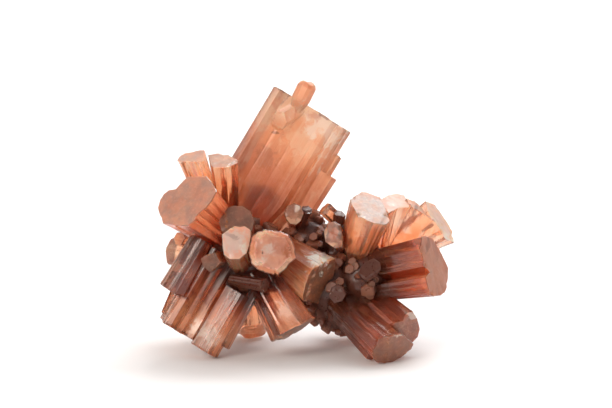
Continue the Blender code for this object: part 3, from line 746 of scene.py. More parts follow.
def growth_pattern():
    """The node group that colours a crystal along its length and draws its growth lines."""
    tree = bpy.data.node_groups.new("growth_pattern", "ShaderNodeTree")
    sockets(tree, "INPUT", PATTERN_INPUTS)
    sockets(tree, "OUTPUT", PATTERN_OUTPUTS)
    wire = Wiring(tree)
    given = wire.node("NodeGroupInput").outputs
    heading, streaks, clouds = given["Heading"], given["Streaks"], given["Clouds"]
    tip, body, root = given["Tip Colour"], given["Body Colour"], given["Root Colour"]
    place = wire.node("ShaderNodeTexCoord").outputs["Object"]
    normal = wire.node("ShaderNodeNewGeometry").outputs["Normal"]

    arm = wire.vector("SUBTRACT", place, given["Tip"])
    depth = wire.times(wire.vector("DOT_PRODUCT", arm, heading), -1.0)
    flat = wire.vector("ADD", arm, wire.vector("SCALE", heading, depth))

    def drawn_out(share):
        """The place with its way along the crystal shortened, which draws a pattern out."""
        return wire.vector("ADD", flat, wire.vector("SCALE", heading, wire.times(depth, share)))

    stretched = drawn_out(LINE_STRETCH)
    cloud = wire.noise(place, 170.0, 3.0, 0.55, 0.6)
    veil = wire.noise(drawn_out(VEIL_STRETCH), 420.0, 3.0, 0.6, 0.8)
    lines = wire.noise(stretched, 2600.0, 2.0, 0.6)
    broad = wire.noise(stretched, 820.0, 2.0, 0.5)
    grain = wire.noise(place, 1500.0, 3.0, 0.6)

    push = wire.times(wire.minus(cloud, 0.5), CLOUD_PUSH)
    warped = wire.plus(depth, wire.times(push, clouds))
    colour = wire.mix(wire.range(warped, 0.0, given["Body Depth"]), tip, body)
    colour = wire.mix(wire.range(warped, given["Body Depth"], given["Root Depth"]), colour, root)
    pale = wire.times(wire.range(veil, 0.54, 0.68), clouds)
    colour = wire.mix(wire.times(pale, 0.45), colour, tip)
    deep = wire.times(wire.range(veil, 0.46, 0.32), clouds)
    colour = wire.mix(wire.times(deep, 0.6), colour, root)
    dark_lines = wire.times(wire.range(lines, 0.50, 0.36), 0.45)
    dark_bands = wire.times(wire.range(broad, 0.50, 0.36), 0.5)
    dark = wire.times(wire.plus(dark_lines, dark_bands), streaks, clamp=True)
    colour = wire.mix(wire.times(dark, 0.75), colour, root)
    light = wire.times(wire.times(wire.range(lines, 0.56, 0.66), streaks), 0.45)
    colour = wire.mix(light, colour, tip)

    faced = wire.range(wire.vector("DOT_PRODUCT", normal, heading), 0.80, 0.93)
    on_face = wire.times(faced, wire.range(depth, 0.0030, 0.0016))
    mottle = wire.noise(place, 420.0, 3.0, 0.55)
    fine_mottle = wire.noise(place, 1800.0, 2.0, 0.6)
    face = wire.mix(wire.range(mottle, 0.3, 0.75, 0.0, 0.6), given["Face Colour"], body)
    face = wire.mix(wire.range(cloud, 0.45, 0.65, 0.0, 0.4), face, root)
    face = wire.mix(wire.range(fine_mottle, 0.5, 0.7, 0.0, 0.25), face, tip)
    colour = wire.mix(wire.times(on_face, 0.9), colour, face)

    side_rough = wire.range(broad, 0.3, 0.7, given["Frost"], wire.plus(given["Frost"], 0.16))
    face_rough = wire.range(mottle, 0.3, 0.7, 0.30, 0.46)
    on_side = wire.times(wire.plus(lines, broad), wire.minus(1.0, on_face))
    relief = wire.plus(on_side, wire.times(grain, 0.2))
    bump = {"Strength": 0.6, "Distance": 0.00012, "Height": relief}
    wire.node("NodeGroupOutput", {
        "Colour": colour,
        "Roughness": wire.mix(on_face, side_rough, face_rough, "FLOAT"),
        "Normal": wire.node("ShaderNodeBump", bump).outputs["Normal"],
    })
    return tree


class Look(typing.NamedTuple):
    """One piece's finish: its shade of the panel, how much light goes through, where it turns.

    Body and root are how deep, in millimetres, the tip's colour has turned into those two. Tone and
    face darken or lighten the sides and the end. Clear is how much light goes through the end.
    """

    shade: str
    through: float
    body: float
    root: float
    streaks: float = 0.7
    clouds: float = 0.7
    tone: float = 1.0
    face: float = 1.0
    clear: float = 0.35
    frost: float = 0.1
    density: float = 120.0


LOOKS = {
    "tall_crystal": Look("peach", 0.80, 7.0, 18.0, 0.2, 1.0, 0.95, frost=0.36, density=60.0),
    "front_right_crystal": Look("salmon", 0.80, 0.9, 9.0, 0.1, 0.9, 1.05, 1.25),
    "left_crystal": Look("salmon", 0.80, 4.0, 14.0, 0.4, 0.7, 1.25, 0.72),
    "small_left_crystal": Look("russet", 0.72, 1.5, 6.0, 0.5, 0.5, 1.0, 0.15, 0.5),
    "lower_left_crystals": Look("russet", 0.77, 2.0, 7.0, 1.0, 0.8, 0.75, frost=0.2),
    # The lower middle and lower right crystals' ends face down: their darker end tones are partly
    # their own colour and partly painted shade.
    "lower_middle_crystal": Look("salmon", 0.95, 6.0, 11.0, 0.7, 0.7, 1.0, 0.4),
    "lower_right_crystal": Look("russet", 0.82, 1.5, 8.0, 0.9, 0.8, 1.0, 0.6),
    "right_crystal": Look("russet", 0.77, 1.5, 9.0, 1.0, 0.8, 1.0, 1.0),
    "right_upper_crystal": Look("peach", 0.75, 4.0, 14.0, 0.5, 0.7, 1.0, 0.36),
    "upper_inner_crystals": Look("russet", 0.90, 3.0, 8.0, 0.5, 0.6, 1.1, 0.22),
    "tall_foot_crystal": Look("salmon", 0.82, 3.0, 7.0, 0.3, 0.8, 1.0, 0.4),
    "front_left_crystal": Look("salmon", 0.70, 4.0, 12.0, 0.3, 0.5, 1.4, 1.4),
    # The middle crystal's end faces down: its dark end tone is partly its own colour and partly
    # painted shade.
    "middle_crystal": Look("russet", 0.40, 4.0, 12.0, 0.6, 0.6, 1.15, 0.30),
    "upper_left_crystal": Look("peach", 0.95, 6.0, 18.0, 0.7, 0.6, 1.1, 0.7),
    "upper_middle_crystal": Look("peach", 0.92, 5.0, 16.0, 0.7, 0.6, 1.05, 0.7),
    "front_upper_crystal": Look("russet", 0.85, 2.5, 7.0, 0.3, 0.6, 0.8, 0.36, 0.4),
    "far_right_crystals": Look("peach", 0.95, 8.0, 17.0, 0.6, 0.8, 1.2, 0.9),
    "back_foot_crystal": Look("peach", 0.95, 8.0, 14.0, 0.8, 0.8, 1.2, 1.2),
    "far_left_crystals": Look("peach", 0.95, 5.0, 11.0, 0.7, 0.8),
    "back_left_crystal": Look("salmon", 0.82, 4.0, 12.0, 0.7, 0.7, 1.0, 0.85),
    "back_middle_crystal": Look("russet", 0.82, 3.0, 12.0, 0.7, 0.7, 1.0, 0.75),
    "back_low_left_crystal": Look("salmon", 0.82, 3.0, 10.0),
    "back_top_crystal": Look("peach", 0.95, 8.0, 16.0, 0.4, 0.7, 1.1, 0.72),
    "back_right_crystal": Look("salmon", 0.82, 4.0, 12.0, 0.7, 0.7, 1.0, 0.7),
    "back_far_right_crystal": Look("russet", 0.82, 3.0, 10.0),
    "back_right_foot_crystal": Look("russet", 0.82, 3.0, 10.0),
    "back_inner_crystal": Look("salmon", 0.82, 3.0, 10.0),
    "back_bridge_crystal": Look("russet", 0.82, 3.0, 10.0, 0.7, 0.7, 1.0, 0.55),
}


# Each zone's place, size and lean in the front plane's frame, its colour and its strength; some are
# painted light or shade, as marked.
PATCHES = {
    "tall_crystal": (
        ((-0.4, 54.0, 2.2), (2.6, 3.8, 3.4), 25, "peach_body", 0.9),
        ((-0.8, 43.6, 0.0), (4.4, 3.0, 9.0), 31, "peach_tip", 0.5),
        ((3.2, 46.9, 0.0), (4.6, 2.8, 9.0), 31, "clear", 1.0),
        ((-8.4, 50.2, 0.0), (2.8, 4.4, 9.0), 31, "peach_tip", 0.95),
        ((-11.6, 38.6, 0.0), (1.8, 4.6, 9.0), 31, "amber", 0.5),
        ((-4.4, 51.8, 0.0), (0.35, 1.6, 9.0), 45, "stain", 0.7),
        ((-5.8, 45.4, 0.0), (1.4, 0.35, 9.0), 10, "stain", 0.7),
        ((1.4, 48.9, 0.0), (1.5, 1.2, 9.0), 31, "amber", 0.6),
        ((3.4, 49.0, 0.0), (3.4, 0.4, 9.0), 31, "stain", 0.7),
        ((-4.7, 53.9, 0.0), (1.6, 0.4, 9.0), 31, "stain", 0.7),
        ((5.2, 42.8, 0.0), (0.35, 5.2, 9.0), 28, "clear", 0.8),
        ((2.2, 39.6, 0.0), (0.3, 4.6, 9.0), 30, "clear", 0.55),
        ((-12.2, 44.6, 0.0), (1.4, 5.6, 9.0), 31, "milk", 0.45),
        ((-8.2, 41.0, 0.0), (2.2, 2.4, 9.0), 10, "stain", 0.35),
        ((-8.4, 34.4, 0.0), (5.4, 3.6, 9.0), 20, "amber", 0.6),
        ((-2.0, 36.0, 0.0), (4.0, 3.0, 9.0), 31, "amber", 0.35),
    ),
    "front_right_crystal": (
        # The pale middle of the domed end: partly its own milky colour and partly a painted
        # highlight.
        ((-7.4, 22.2, 17.6), (2.1, 2.0, 2.0), 10, "milk", 0.95),
        ((-8.6, 21.6, 17.6), (0.35, 0.45, 1.4), 0, "stain", 0.9),
        # Painted shade: a darker zone on the right side of the domed end, away from the light.
        ((-3.6, 22.2, 16.6), (1.3, 3.0, 3.0), 10, "russet_body", 0.9),
        ((-9.4, 19.6, 17.6), (1.4, 0.9, 1.6), -20, "clear", 0.35),
    ),
    "left_crystal": (
        # Painted light: a milky zone that lightens the lower side near the root, which the
        # neighbours shade.
        ((-21.4, 24.6, 6.0), (3.2, 2.6, 9.0), 0, "milk", 0.5),
        ((-25.6, 31.6, 10.0), (3.0, 2.4, 4.0), 20, "russet_body", 0.3),
    ),
    "front_left_crystal": (
        ((-14.2, 24.0, 15.0), (3.6, 4.0, 1.6), 0, "milk", 0.95),
        # Painted light: a pale zone on the side under the end face, which faces down and lies in
        # shade.
        ((-14.0, 18.2, 13.0), (3.0, 2.2, 4.0), 0, "salmon_tip", 0.8),
        ((-14.6, 24.8, 15.0), (1.4, 0.5, 3.0), 20, "stain", 0.35),
        ((-12.2, 22.2, 15.0), (0.8, 1.8, 3.0), 0, "clear", 0.6),
    ),
    "middle_crystal": (
        # Painted highlight: a clear-coloured zone on the upper side, where light glints on the
        # crystal.
        ((1.9, 20.2, 10.0), (3.4, 2.0, 5.0), -20, "clear", 1.0),
    ),
    "lower_middle_crystal": (
        ((-4.6, 9.4, 8.0), (3.0, 2.2, 9.0), 30, "clear", 0.7),
        ((-9.6, 10.4, 8.0), (1.6, 6.0, 9.0), 31, "stain", 0.78),
    ),
    "lower_left_crystals": (
        ((-20.6, 6.6, 6.0), (2.6, 2.4, 9.0), -40, "clear", 0.7),
        ((-26.6, 18.8, 6.0), (1.8, 5.0, 9.0), 30, "salmon_tip", 0.6),
        ((-24.6, 14.6, 6.0), (2.8, 2.2, 9.0), 30, "stain", 0.95),
        ((-21.4, 12.0, 6.0), (2.2, 3.4, 9.0), 30, "stain", 0.55),
        ((-17.6, 9.4, 6.0), (2.6, 4.4, 9.0), 30, "salmon_body", 0.65),
        ((-16.2, 12.2, 6.0), (2.4, 2.4, 9.0), 30, "amber", 0.8),
        ((-19.4, 5.4, 6.0), (2.8, 1.6, 9.0), 30, "clear", 0.7),
        ((-12.8, 17.2, 6.0), (3.4, 2.6, 9.0), 30, "stain", 0.95),
    ),
    "right_upper_crystal": (
        ((10.8, 26.4, 6.0), (1.4, 3.0, 5.0), -10, "peach_tip", 0.6),
        # Painted light: a pale zone that lightens the shaded left side.
        ((7.4, 25.0, 4.0), (1.4, 3.8, 9.0), -10, "salmon_tip", 0.7),
    ),
    "lower_right_crystal": (
        ((17.8, 5.2, 11.0), (3.4, 0.5, 3.0), 0, "clear", 0.8),
        ((20.6, 9.4, 8.0), (2.4, 0.6, 3.0), 35, "clear", 0.6),
    ),
    "right_crystal": (((24.0, 22.4, 7.0), (0.5, 3.2, 3.0), 10, "stain", 0.5),),
    "far_right_crystals": (
        ((18.4, 31.6, 0.0), (2.4, 1.4, 4.0), 0, "milk", 0.6),
        ((27.0, 24.4, 0.0), (3.0, 2.4, 9.0), 30, "clear", 1.0),
        ((27.4, 28.6, -1.0), (2.2, 4.2, 9.0), -31, "milk", 0.85),
        ((24.5, 26.5, 0.0), (1.6, 0.4, 9.0), -31, "stain", 0.9),
        ((21.6, 29.4, 0.0), (0.4, 2.0, 9.0), 20, "stain", 0.7),
        ((19.6, 27.4, 0.0), (3.0, 2.8, 9.0), 30, "clear", 0.9),
    ),
    "upper_inner_crystals": (
        ((4.6, 29.6, 4.0), (1.2, 1.6, 4.0), 0, "salmon_tip", 0.6),
        ((5.3, 25.2, 7.6), (1.4, 2.2, 3.0), 0, "amber", 1.0),
        ((5.2, 23.2, 7.6), (2.4, 0.8, 4.0), -10, "salmon_tip", 0.8),
        ((3.9, 25.6, 7.6), (0.6, 2.4, 4.0), 10, "salmon_tip", 0.7),
    ),
    "tall_foot_crystal": (
        # Painted highlight: a small clear-coloured spot where light glints on the end.
        ((-1.6, 30.4, 7.0), (0.7, 0.8, 3.0), 20, "clear", 0.8),
        ((-2.4, 27.8, 7.0), (1.8, 0.8, 3.0), 0, "salmon_tip", 0.7),
    ),
}


def patch_mask(wire, place, patch, ragged):
    """How strongly a zone shows at a place: full in its middle and ragged at its edge."""
    middle, (across, up, out), lean, _, strength = patch
    turn = Matrix.Rotation(-LEAN, 3, "X") @ Matrix.Rotation(math.radians(lean), 3, "Y")
    inside = wire.node("ShaderNodeMapping", {
        "Location": stand(middle) + SHIFT,
        "Rotation": turn.to_euler(),
        "Scale": (across * MM, out * MM, up * MM),
        "Vector": place,
    }, vector_type="TEXTURE")
    reach = wire.node("ShaderNodeVectorMath", operation="LENGTH")
    wire.feed(reach.inputs[0], inside.outputs["Vector"])
    return wire.range(wire.plus(reach.outputs["Value"], ragged), 1.15, 0.55, 0.0, strength)


# Aragonite's index of refraction, the share of light that is scattered inside, and what is left of
# white light on its way through.
CRYSTAL_IOR = 1.6
WAXY = 0.7
THROUGH_COLOUR = (0.95, 0.55, 0.34, 1.0)


def zoned(wire, name, colours, colour):
    """The colour with the piece's clouded, clear and stained zones, and its painted highlights,
    light and shade, laid over it.
    """
    patches = PATCHES.get(name, ())
    if not patches:
        return colour
    place = wire.node("ShaderNodeTexCoord").outputs["Object"]
    uneven = wire.plus(wire.noise(place, 620.0, 3.0, 0.6, 0.8), wire.noise(place, 210.0))
    ragged = wire.times(wire.minus(uneven, 1.0), 2.6)
    for patch in patches:
        mask = patch_mask(wire, place, patch, ragged)
        colour = wire.mix(mask, colour, getattr(colours, patch[3]))
    return colour


def finish(name, colours, end):
    """The material of a piece's sides or its ends: its light, its colour and its growth lines."""
    growth, look = PIECES[name][0], LOOKS[name]
    material, wire, shader = new_material(f"{name}_{'end' if end else 'sides'}")
    lines = wire.node("ShaderNodeGroup", node_tree=pattern_of())
    wire.fill(lines, {
        "Tip": stand(growth.tip) + SHIFT,
        "Heading": turned(growth.heading),
        "Body Depth": look.body * MM,
        "Root Depth": look.root * MM,
        "Streaks": look.streaks,
        "Clouds": look.clouds,
        "Frost": look.frost,
    })
    for part in ("tip", "body", "root", "face"):
        shade = getattr(colours, f"{look.shade}_{part}")
        tone = min(look.face if part == "face" else look.tone, 1.0 / max(shade[:3]))
        shown = [value * tone for value in shade[:3]]
        lines.inputs[f"{part.title()} Colour"].default_value = (*shown, 1.0)
    wire.fill(shader, {
        "Base Color": zoned(wire, name, colours, lines.outputs["Colour"]),
        "Roughness": lines.outputs["Roughness"],
        "Normal": lines.outputs["Normal"],
        "IOR": CRYSTAL_IOR,
        "Transmission Weight": look.clear if end else look.through,
        "Subsurface Weight": WAXY,
        "Subsurface Radius": (1.0, 0.5, 0.35),
        "Subsurface Scale": 0.0014,
    })
    through = {"Color": THROUGH_COLOUR, "Density": look.density}
    absorb = wire.node("ShaderNodeVolumeAbsorption", through)
    output = material.node_tree.nodes["Material Output"]
    wire.feed(output.inputs["Volume"], absorb.outputs["Volume"])
    return material


def paint(label, description, value):
    """A colour of the panel."""
    return bpy.props.FloatVectorProperty(
        name=label, description=description, default=(*value, 1.0), size=4, subtype="COLOR",
        min=0.0, max=1.0,
    )


def amount(label, description, value, low=0.0, **more):
    """A number of the panel."""
    return bpy.props.FloatProperty(
        name=label, description=description, default=value, min=low, **more
    )


def length(label, description, value):
    """A length of the panel, given in millimetres."""
    return amount(label, description, value * MM, unit="LENGTH", precision=5)


SHADES = {
    "peach": ((0.98, 0.74, 0.52), (0.90, 0.40, 0.19), (0.62, 0.21, 0.10), (0.78, 0.44, 0.33)),
    "salmon": ((0.94, 0.55, 0.34), (0.80, 0.31, 0.15), (0.50, 0.16, 0.085), (0.66, 0.34, 0.25)),
    "russet": ((0.85, 0.38, 0.19), (0.58, 0.18, 0.080), (0.30, 0.085, 0.045), (0.56, 0.23, 0.14)),
}
# The clear and milky colours also make painted highlights and painted light in some zones; the
# small crystals' dark one is also painted shade at their roots.
ZONE_AND_MASS_COLOURS = {
    "milk": ("Milky zone", (0.86, 0.62, 0.52)),
    "clear": ("Clear zone", (1.0, 0.88, 0.76)),
    "amber": ("Amber zone", (0.55, 0.15, 0.05)),
    "stain": ("Dark stain", (0.16, 0.04, 0.025)),
    # Also painted shade: the small crystals turn to this colour towards their roots.
    "mass_dark": ("Small crystals' dark colour", (0.14, 0.045, 0.027)),
    "mass_brown": ("Small crystals' brown colour", (0.34, 0.115, 0.065)),
    "mass_pale": ("Small crystals' pale ends", (0.38, 0.165, 0.105)),
}


def colour_properties():
    """The colours of the panel: four for each shade of crystal, and one for each kind of zone."""
    words = {
        "tip": "Colour where the crystal is clearest",
        "body": "Colour of its middle",
        "root": "Colour where it is densest",
        "face": "Colour of its end face",
    }
    made = {}
    for shade, values in SHADES.items():
        for (part, text), value in zip(words.items(), values):
            made[f"{shade}_{part}"] = paint(f"{shade.title()} {part}", text, value)
    for name, (label, value) in ZONE_AND_MASS_COLOURS.items():
        made[name] = paint(label, "Colour of such a place in the crystals", value)
    return made


class MineralColours(bpy.types.PropertyGroup):
    """The crystals' colours, from the tip to the root and on the end face."""

    __annotations__ = colour_properties()


class CrystalRelief(bpy.types.PropertyGroup):
    """The sizes of the crystals' ridges, grooves and worn edges."""

    ridge_spacing: length("Ridge spacing", "Distance between growth ridges", 0.42)
    ring_spacing: length("Ring spacing", "Distance between the rings down a side", 1.9)
    ridge_depth: length("Ridge depth", "Height of the fine growth ridges", 0.07)
    band_depth: length("Band depth", "Height of the broad bands", 0.16)
    groove_depth: length("Groove depth", "Depth of the deeper grooves", 0.30)
    groove_share: amount(
        "Grooves", "Share of ridges that have a deep groove beside them", 0.06, max=1.0,
        subtype="FACTOR",
    )
    rim_bevel: length("Rim bevel", "Width of the worn edge round an end face", 0.16)
    face_relief: length("Face relief", "Height of the relief on an end face", 0.06)
    face_step: length("Face step", "Height of the broken steps on an end face", 0.28)
    chip_depth: length("Chip depth", "Depth of the chips in an end face's rim", 0.9)


class SmallCrystals(bpy.types.PropertyGroup):
    """How the small crystals are spread over the mass in the middle."""

    count: bpy.props.IntProperty(
        name="Count", description="Number of small crystals tried", default=520, min=0
    )
    width: length("Width", "Radius of the widest small crystal", 1.6)
    reach: length("Reach", "How far the longest stands out", 1.9)
    seed: bpy.props.IntProperty(name="Seed", description="Another spread", default=11)


class StudioStage(bpy.types.PropertyGroup):
    """The camera and the light."""

    lens: amount("Lens", "Focal length in millimetres", 500.0, low=20.0)
    elevation: amount("Elevation", "Camera's angle above the horizon", LEAN, subtype="ANGLE")
    view_width: length("View width", "Width of what the camera sees at the specimen", 122.4)
    sky: amount("Sky", "Strength of the white surroundings", 1.08)
    front: amount("Front", "Strength of the darker surroundings in front", 0.25)
    softbox: amount("Softbox", "Power of the light above and behind", 1.9, unit="POWER")


def pattern_of():
    """The shared node group, made once."""
    return bpy.data.node_groups.get("growth_pattern") or growth_pattern()


def build_piece(name):
    """One named piece: its growths joined into one skin, with its two materials."""
    scene = bpy.context.scene
    chance = random.Random(list(PIECES).index(name) + 1)
    finishes = [finish(name, scene.mineral_colours, end) for end in (False, True)]
    grown = []
    for number, growth in enumerate(PIECES[name]):
        crystal = grow(f"{name}_{number}", growth, chance, scene.crystal_relief)
        for made in finishes:
            crystal.data.materials.append(made)
        grown.append(crystal)
    piece = grown[0]
    if len(grown) > 1:
        combined(piece, grown[1:])
    piece.name = f"{name}_detailed"
    piece.data.name = piece.name
    creased(piece)
    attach(piece, "root")
    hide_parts(name)


class PieceOperator:
    """What the crystals' operators share."""

    bl_options = {"REGISTER", "UNDO"}
    pieces = ()

    def execute(self, context):
        for name in self.pieces:
            build_piece(name)
        return {"FINISHED"}


class SPECIMEN_OT_tall_crystal(PieceOperator, bpy.types.Operator):
    """Grows the broad crystal at the top, with its shorter neighbours and its two fingers"""

    bl_idname = "specimen.tall_crystal"
    bl_label = "Tall Crystal"
    pieces = ("tall_crystal",)


class SPECIMEN_OT_left_spray(PieceOperator, bpy.types.Operator):
    """Grows the crystals that show on the left"""

    bl_idname = "specimen.left_spray"
    bl_label = "Left Spray"
    pieces = (
        "front_right_crystal", "left_crystal", "small_left_crystal", "lower_left_crystals",
        "lower_middle_crystal", "front_left_crystal", "upper_left_crystal",
        "upper_middle_crystal", "front_upper_crystal", "far_left_crystals", "middle_crystal",
        "tall_foot_crystal",
    )


class SPECIMEN_OT_right_spray(PieceOperator, bpy.types.Operator):
    """Grows the crystals that show on the right"""

    bl_idname = "specimen.right_spray"
    bl_label = "Right Spray"
    pieces = (
        "lower_right_crystal", "right_crystal", "right_upper_crystal", "far_right_crystals",
        "upper_inner_crystals",
    )


class SPECIMEN_OT_back_crystals(PieceOperator, bpy.types.Operator):
    """Grows the crystals that point backwards"""

    bl_idname = "specimen.back_crystals"
    bl_label = "Back Crystals"
    pieces = (
        "back_foot_crystal", "back_left_crystal", "back_middle_crystal", "back_low_left_crystal",
        "back_top_crystal", "back_right_crystal", "back_far_right_crystal",
        "back_right_foot_crystal", "back_inner_crystal", "back_bridge_crystal",
    )


GOLDEN_ANGLE = math.pi * (3 - math.sqrt(5))
# How much the small crystals lean at random, and the narrowest and shortest as shares of the
# widest and longest.
SEED_LEAN = 0.28
NARROWEST = 0.38
SHORTEST = 0.25


def seed_points(settings):
    """Where the small crystals stand, which way they point, and how wide and long they are."""
    chance = random.Random(settings.seed)
    large = [growth for growths in PIECES.values() for growth in growths]
    total = sum(radius**2 for _, radius in LUMPS)
    seeds = []
    for middle, radius in LUMPS:
        middle = Vector(middle)
        count = round(settings.count * radius**2 / total)
        for number in range(count):
            height = 1 - 2 * (number + 0.5) / count
            ring = math.sqrt(1 - height**2)
            angle = number * GOLDEN_ANGLE + chance.uniform(-0.5, 0.5)
            outward = Vector((ring * math.cos(angle), height, ring * math.sin(angle)))
            lean = Vector((chance.gauss(0, 1), chance.gauss(0, 1), chance.gauss(0, 1)))
            heading = (outward + lean * SEED_LEAN).normalized()
            share = chance.random() ** 1.3
            width = settings.width / MM * (NARROWEST + (1 - NARROWEST) * share)
            reach = settings.reach / MM * (SHORTEST + (1 - SHORTEST) * chance.random())
            tip = middle + outward * (radius * 0.93) + heading * reach
            turn = chance.uniform(0, 60)
            shade = chance.random()
            if any(g.holds(tip) or g.holds(tip - heading * 0.8) for g in large):
                continue
            if any((tip - Vector(other)).length < r for other, r in LUMPS):
                continue
            seeds.append((tip, heading, width, width * 1.2 + reach + 1.0, turn, shade))
    return seeds


def seed_mesh(seeds):
    """The seeds as loose points that carry what the node tree needs."""
    mesh = bpy.data.meshes.new("seeds")
    mesh.from_pydata([settled(seed[0]) for seed in seeds], [], [])
    layer = mesh.attributes.new("heading", "FLOAT_VECTOR", "POINT")
    for item, seed in zip(layer.data, seeds):
        item.vector = turned(seed[1])
    columns = {
        "width": [seed[2] * MM for seed in seeds],
        "depth": [seed[3] * MM for seed in seeds],
        "turn": [math.radians(seed[4]) for seed in seeds],
        "shade": [seed[5] for seed in seeds],
    }
    for name, values in columns.items():
        mesh.attributes.new(name, "FLOAT", "POINT").data.foreach_set("value", values)
    return mesh


def small_crystal_mesh():
    """One six-sided small crystal of unit size, with a bevelled end, its tip at the origin."""
    mesh = bmesh.new()
    rings = []
    end = mesh.verts.layers.float.new("end")
    for depth, share in ((0.0, 0.86), (-0.08, 1.0), (-0.45, 0.97), (-1.0, 0.86)):
        ring = []
        for side in range(6):
            angle = math.radians(60 * side)
            wobble = 1.0 + 0.09 * math.sin(side * 2.4 + 0.6)
            spot = Vector((math.cos(angle), math.sin(angle), 0)) * (share * wobble)
            ring.append(mesh.verts.new((spot.x, spot.y, depth)))
            # The end value, 1 at the tip and 0 from halfway down, marks where painted shade darkens
            # the small crystal.
            ring[-1][end] = max(0.0, 1.0 + 2.0 * depth)
        rings.append(ring)
    mesh.faces.new(rings[0])
    mesh.faces.new(rings[-1])
    for near, far in zip(rings, rings[1:]):
        for side in range(6):
            after = (side + 1) % 6
            mesh.faces.new((near[side], far[side], far[after], near[after]))
    bmesh.ops.recalc_face_normals(mesh, faces=mesh.faces)
    return linked("small_crystal_unit", mesh)


def small_crystal_tree(unit, material):
    """The Geometry Nodes tree that stands a small crystal on each seed."""
    tree = bpy.data.node_groups.new("small_crystals", "GeometryNodeTree")
    _, size = sockets(tree, "INPUT", (("Geometry", "Geometry"), ("Float", "Size", 1.0)))
    size.min_value = 0.0
    sockets(tree, "OUTPUT", (("Geometry", "Geometry"),))
    wire = Wiring(tree)
    given = wire.node("NodeGroupInput").outputs

    def field(name, kind="FLOAT"):
        made = wire.node("GeometryNodeInputNamedAttribute", {"Name": name}, data_type=kind)
        return made.outputs["Attribute"]

    info = wire.node("GeometryNodeObjectInfo", {"Object": unit})
    across = wire.times(field("width"), given["Size"])
    scale = wire.node("ShaderNodeCombineXYZ", {"X": across, "Y": across, "Z": field("depth")})
    heading = {"Vector": field("heading", "FLOAT_VECTOR")}
    aim = wire.node("FunctionNodeAlignRotationToVector", heading, axis="Z")
    turn = {"Axis": (0, 0, 1), "Angle": field("turn")}
    about = wire.node("FunctionNodeAxisAngleToRotation", turn)
    both = {"Rotation": aim.outputs["Rotation"], "Rotate By": about.outputs["Rotation"]}
    spin = wire.node("FunctionNodeRotateRotation", both, rotation_space="LOCAL")
    points = wire.node("GeometryNodeMeshToPoints", {"Mesh": given["Geometry"]})
    stood = wire.node("GeometryNodeInstanceOnPoints", {
        "Points": points.outputs["Points"],
        "Instance": info.outputs["Geometry"],
        "Rotation": spin.outputs["Rotation"],
        "Scale": scale.outputs["Vector"],
    })
    real = wire.node("GeometryNodeRealizeInstances", {"Geometry": stood.outputs["Instances"]})
    dressed = {"Geometry": real.outputs["Geometry"], "Material": material}
    painted = wire.node("GeometryNodeSetMaterial", dressed)
    wire.node("NodeGroupOutput", {"Geometry": painted.outputs["Geometry"]})
    return tree, size.identifier


def mass_finish(colours):
    """The dark, dense small crystals: brown, glossy, a little grey on their ends, and darker
    towards their roots, which is painted shade.
    """
    material, wire, shader = new_material("small_crystals")
    place = wire.node("ShaderNodeTexCoord").outputs["Object"]
    shade = wire.node("ShaderNodeAttribute", attribute_name="shade").outputs["Fac"]
    end = wire.node("ShaderNodeAttribute", attribute_name="end").outputs["Fac"]
    patch = wire.noise(place, 260.0, 3.0, 0.6, 0.4)
    fleck = wire.noise(place, 1400.0, 3.0, 0.6)
    mixed = wire.plus(wire.times(shade, 0.8), wire.times(patch, 0.4))
    lit = wire.mix(wire.range(mixed, 0.25, 1.05), colours.mass_brown, colours.mass_pale)
    # Painted shade: each small crystal darkens towards its root, where it meets the mass.
    colour = wire.mix(wire.range(end, 0.1, 1.0), colours.mass_dark, lit)
    colour = wire.mix(wire.range(fleck, 0.6, 0.8, 0.0, 0.4), colour, colours.russet_body)
    bump = wire.node("ShaderNodeBump", {
        "Strength": 0.3, "Distance": 0.0001, "Height": wire.noise(place, 2400.0, 3.0, 0.6),
    })
    wire.fill(shader, {
        "Base Color": colour,
        "Roughness": wire.range(fleck, 0.3, 0.7, 0.26, 0.42),
        "IOR": 1.5,
        "Transmission Weight": 0.3,
        "Subsurface Weight": 0.4,
        "Subsurface Radius": (1.0, 0.35, 0.18),
        "Subsurface Scale": 0.0012,
        "Normal": bump.outputs["Normal"],
    })
    return material


def rounded_lump(middle, radius):
    """One lump of the mass, with an uneven skin."""
    mesh = bmesh.new()
    bmesh.ops.create_icosphere(mesh, subdivisions=4, radius=1.0)
    for vertex in mesh.verts:
        outward = vertex.co.normalized()
        rough = noise.noise(outward * 3.0 + Vector(middle)) * 0.35
        fine = noise.noise(outward * 9.0 + Vector(middle)) * 0.25
        vertex.co = settled(Vector(middle) + outward * (radius * 0.95 + rough + fine))
    bmesh.ops.recalc_face_normals(mesh, faces=mesh.faces)
    return linked("lump", mesh)


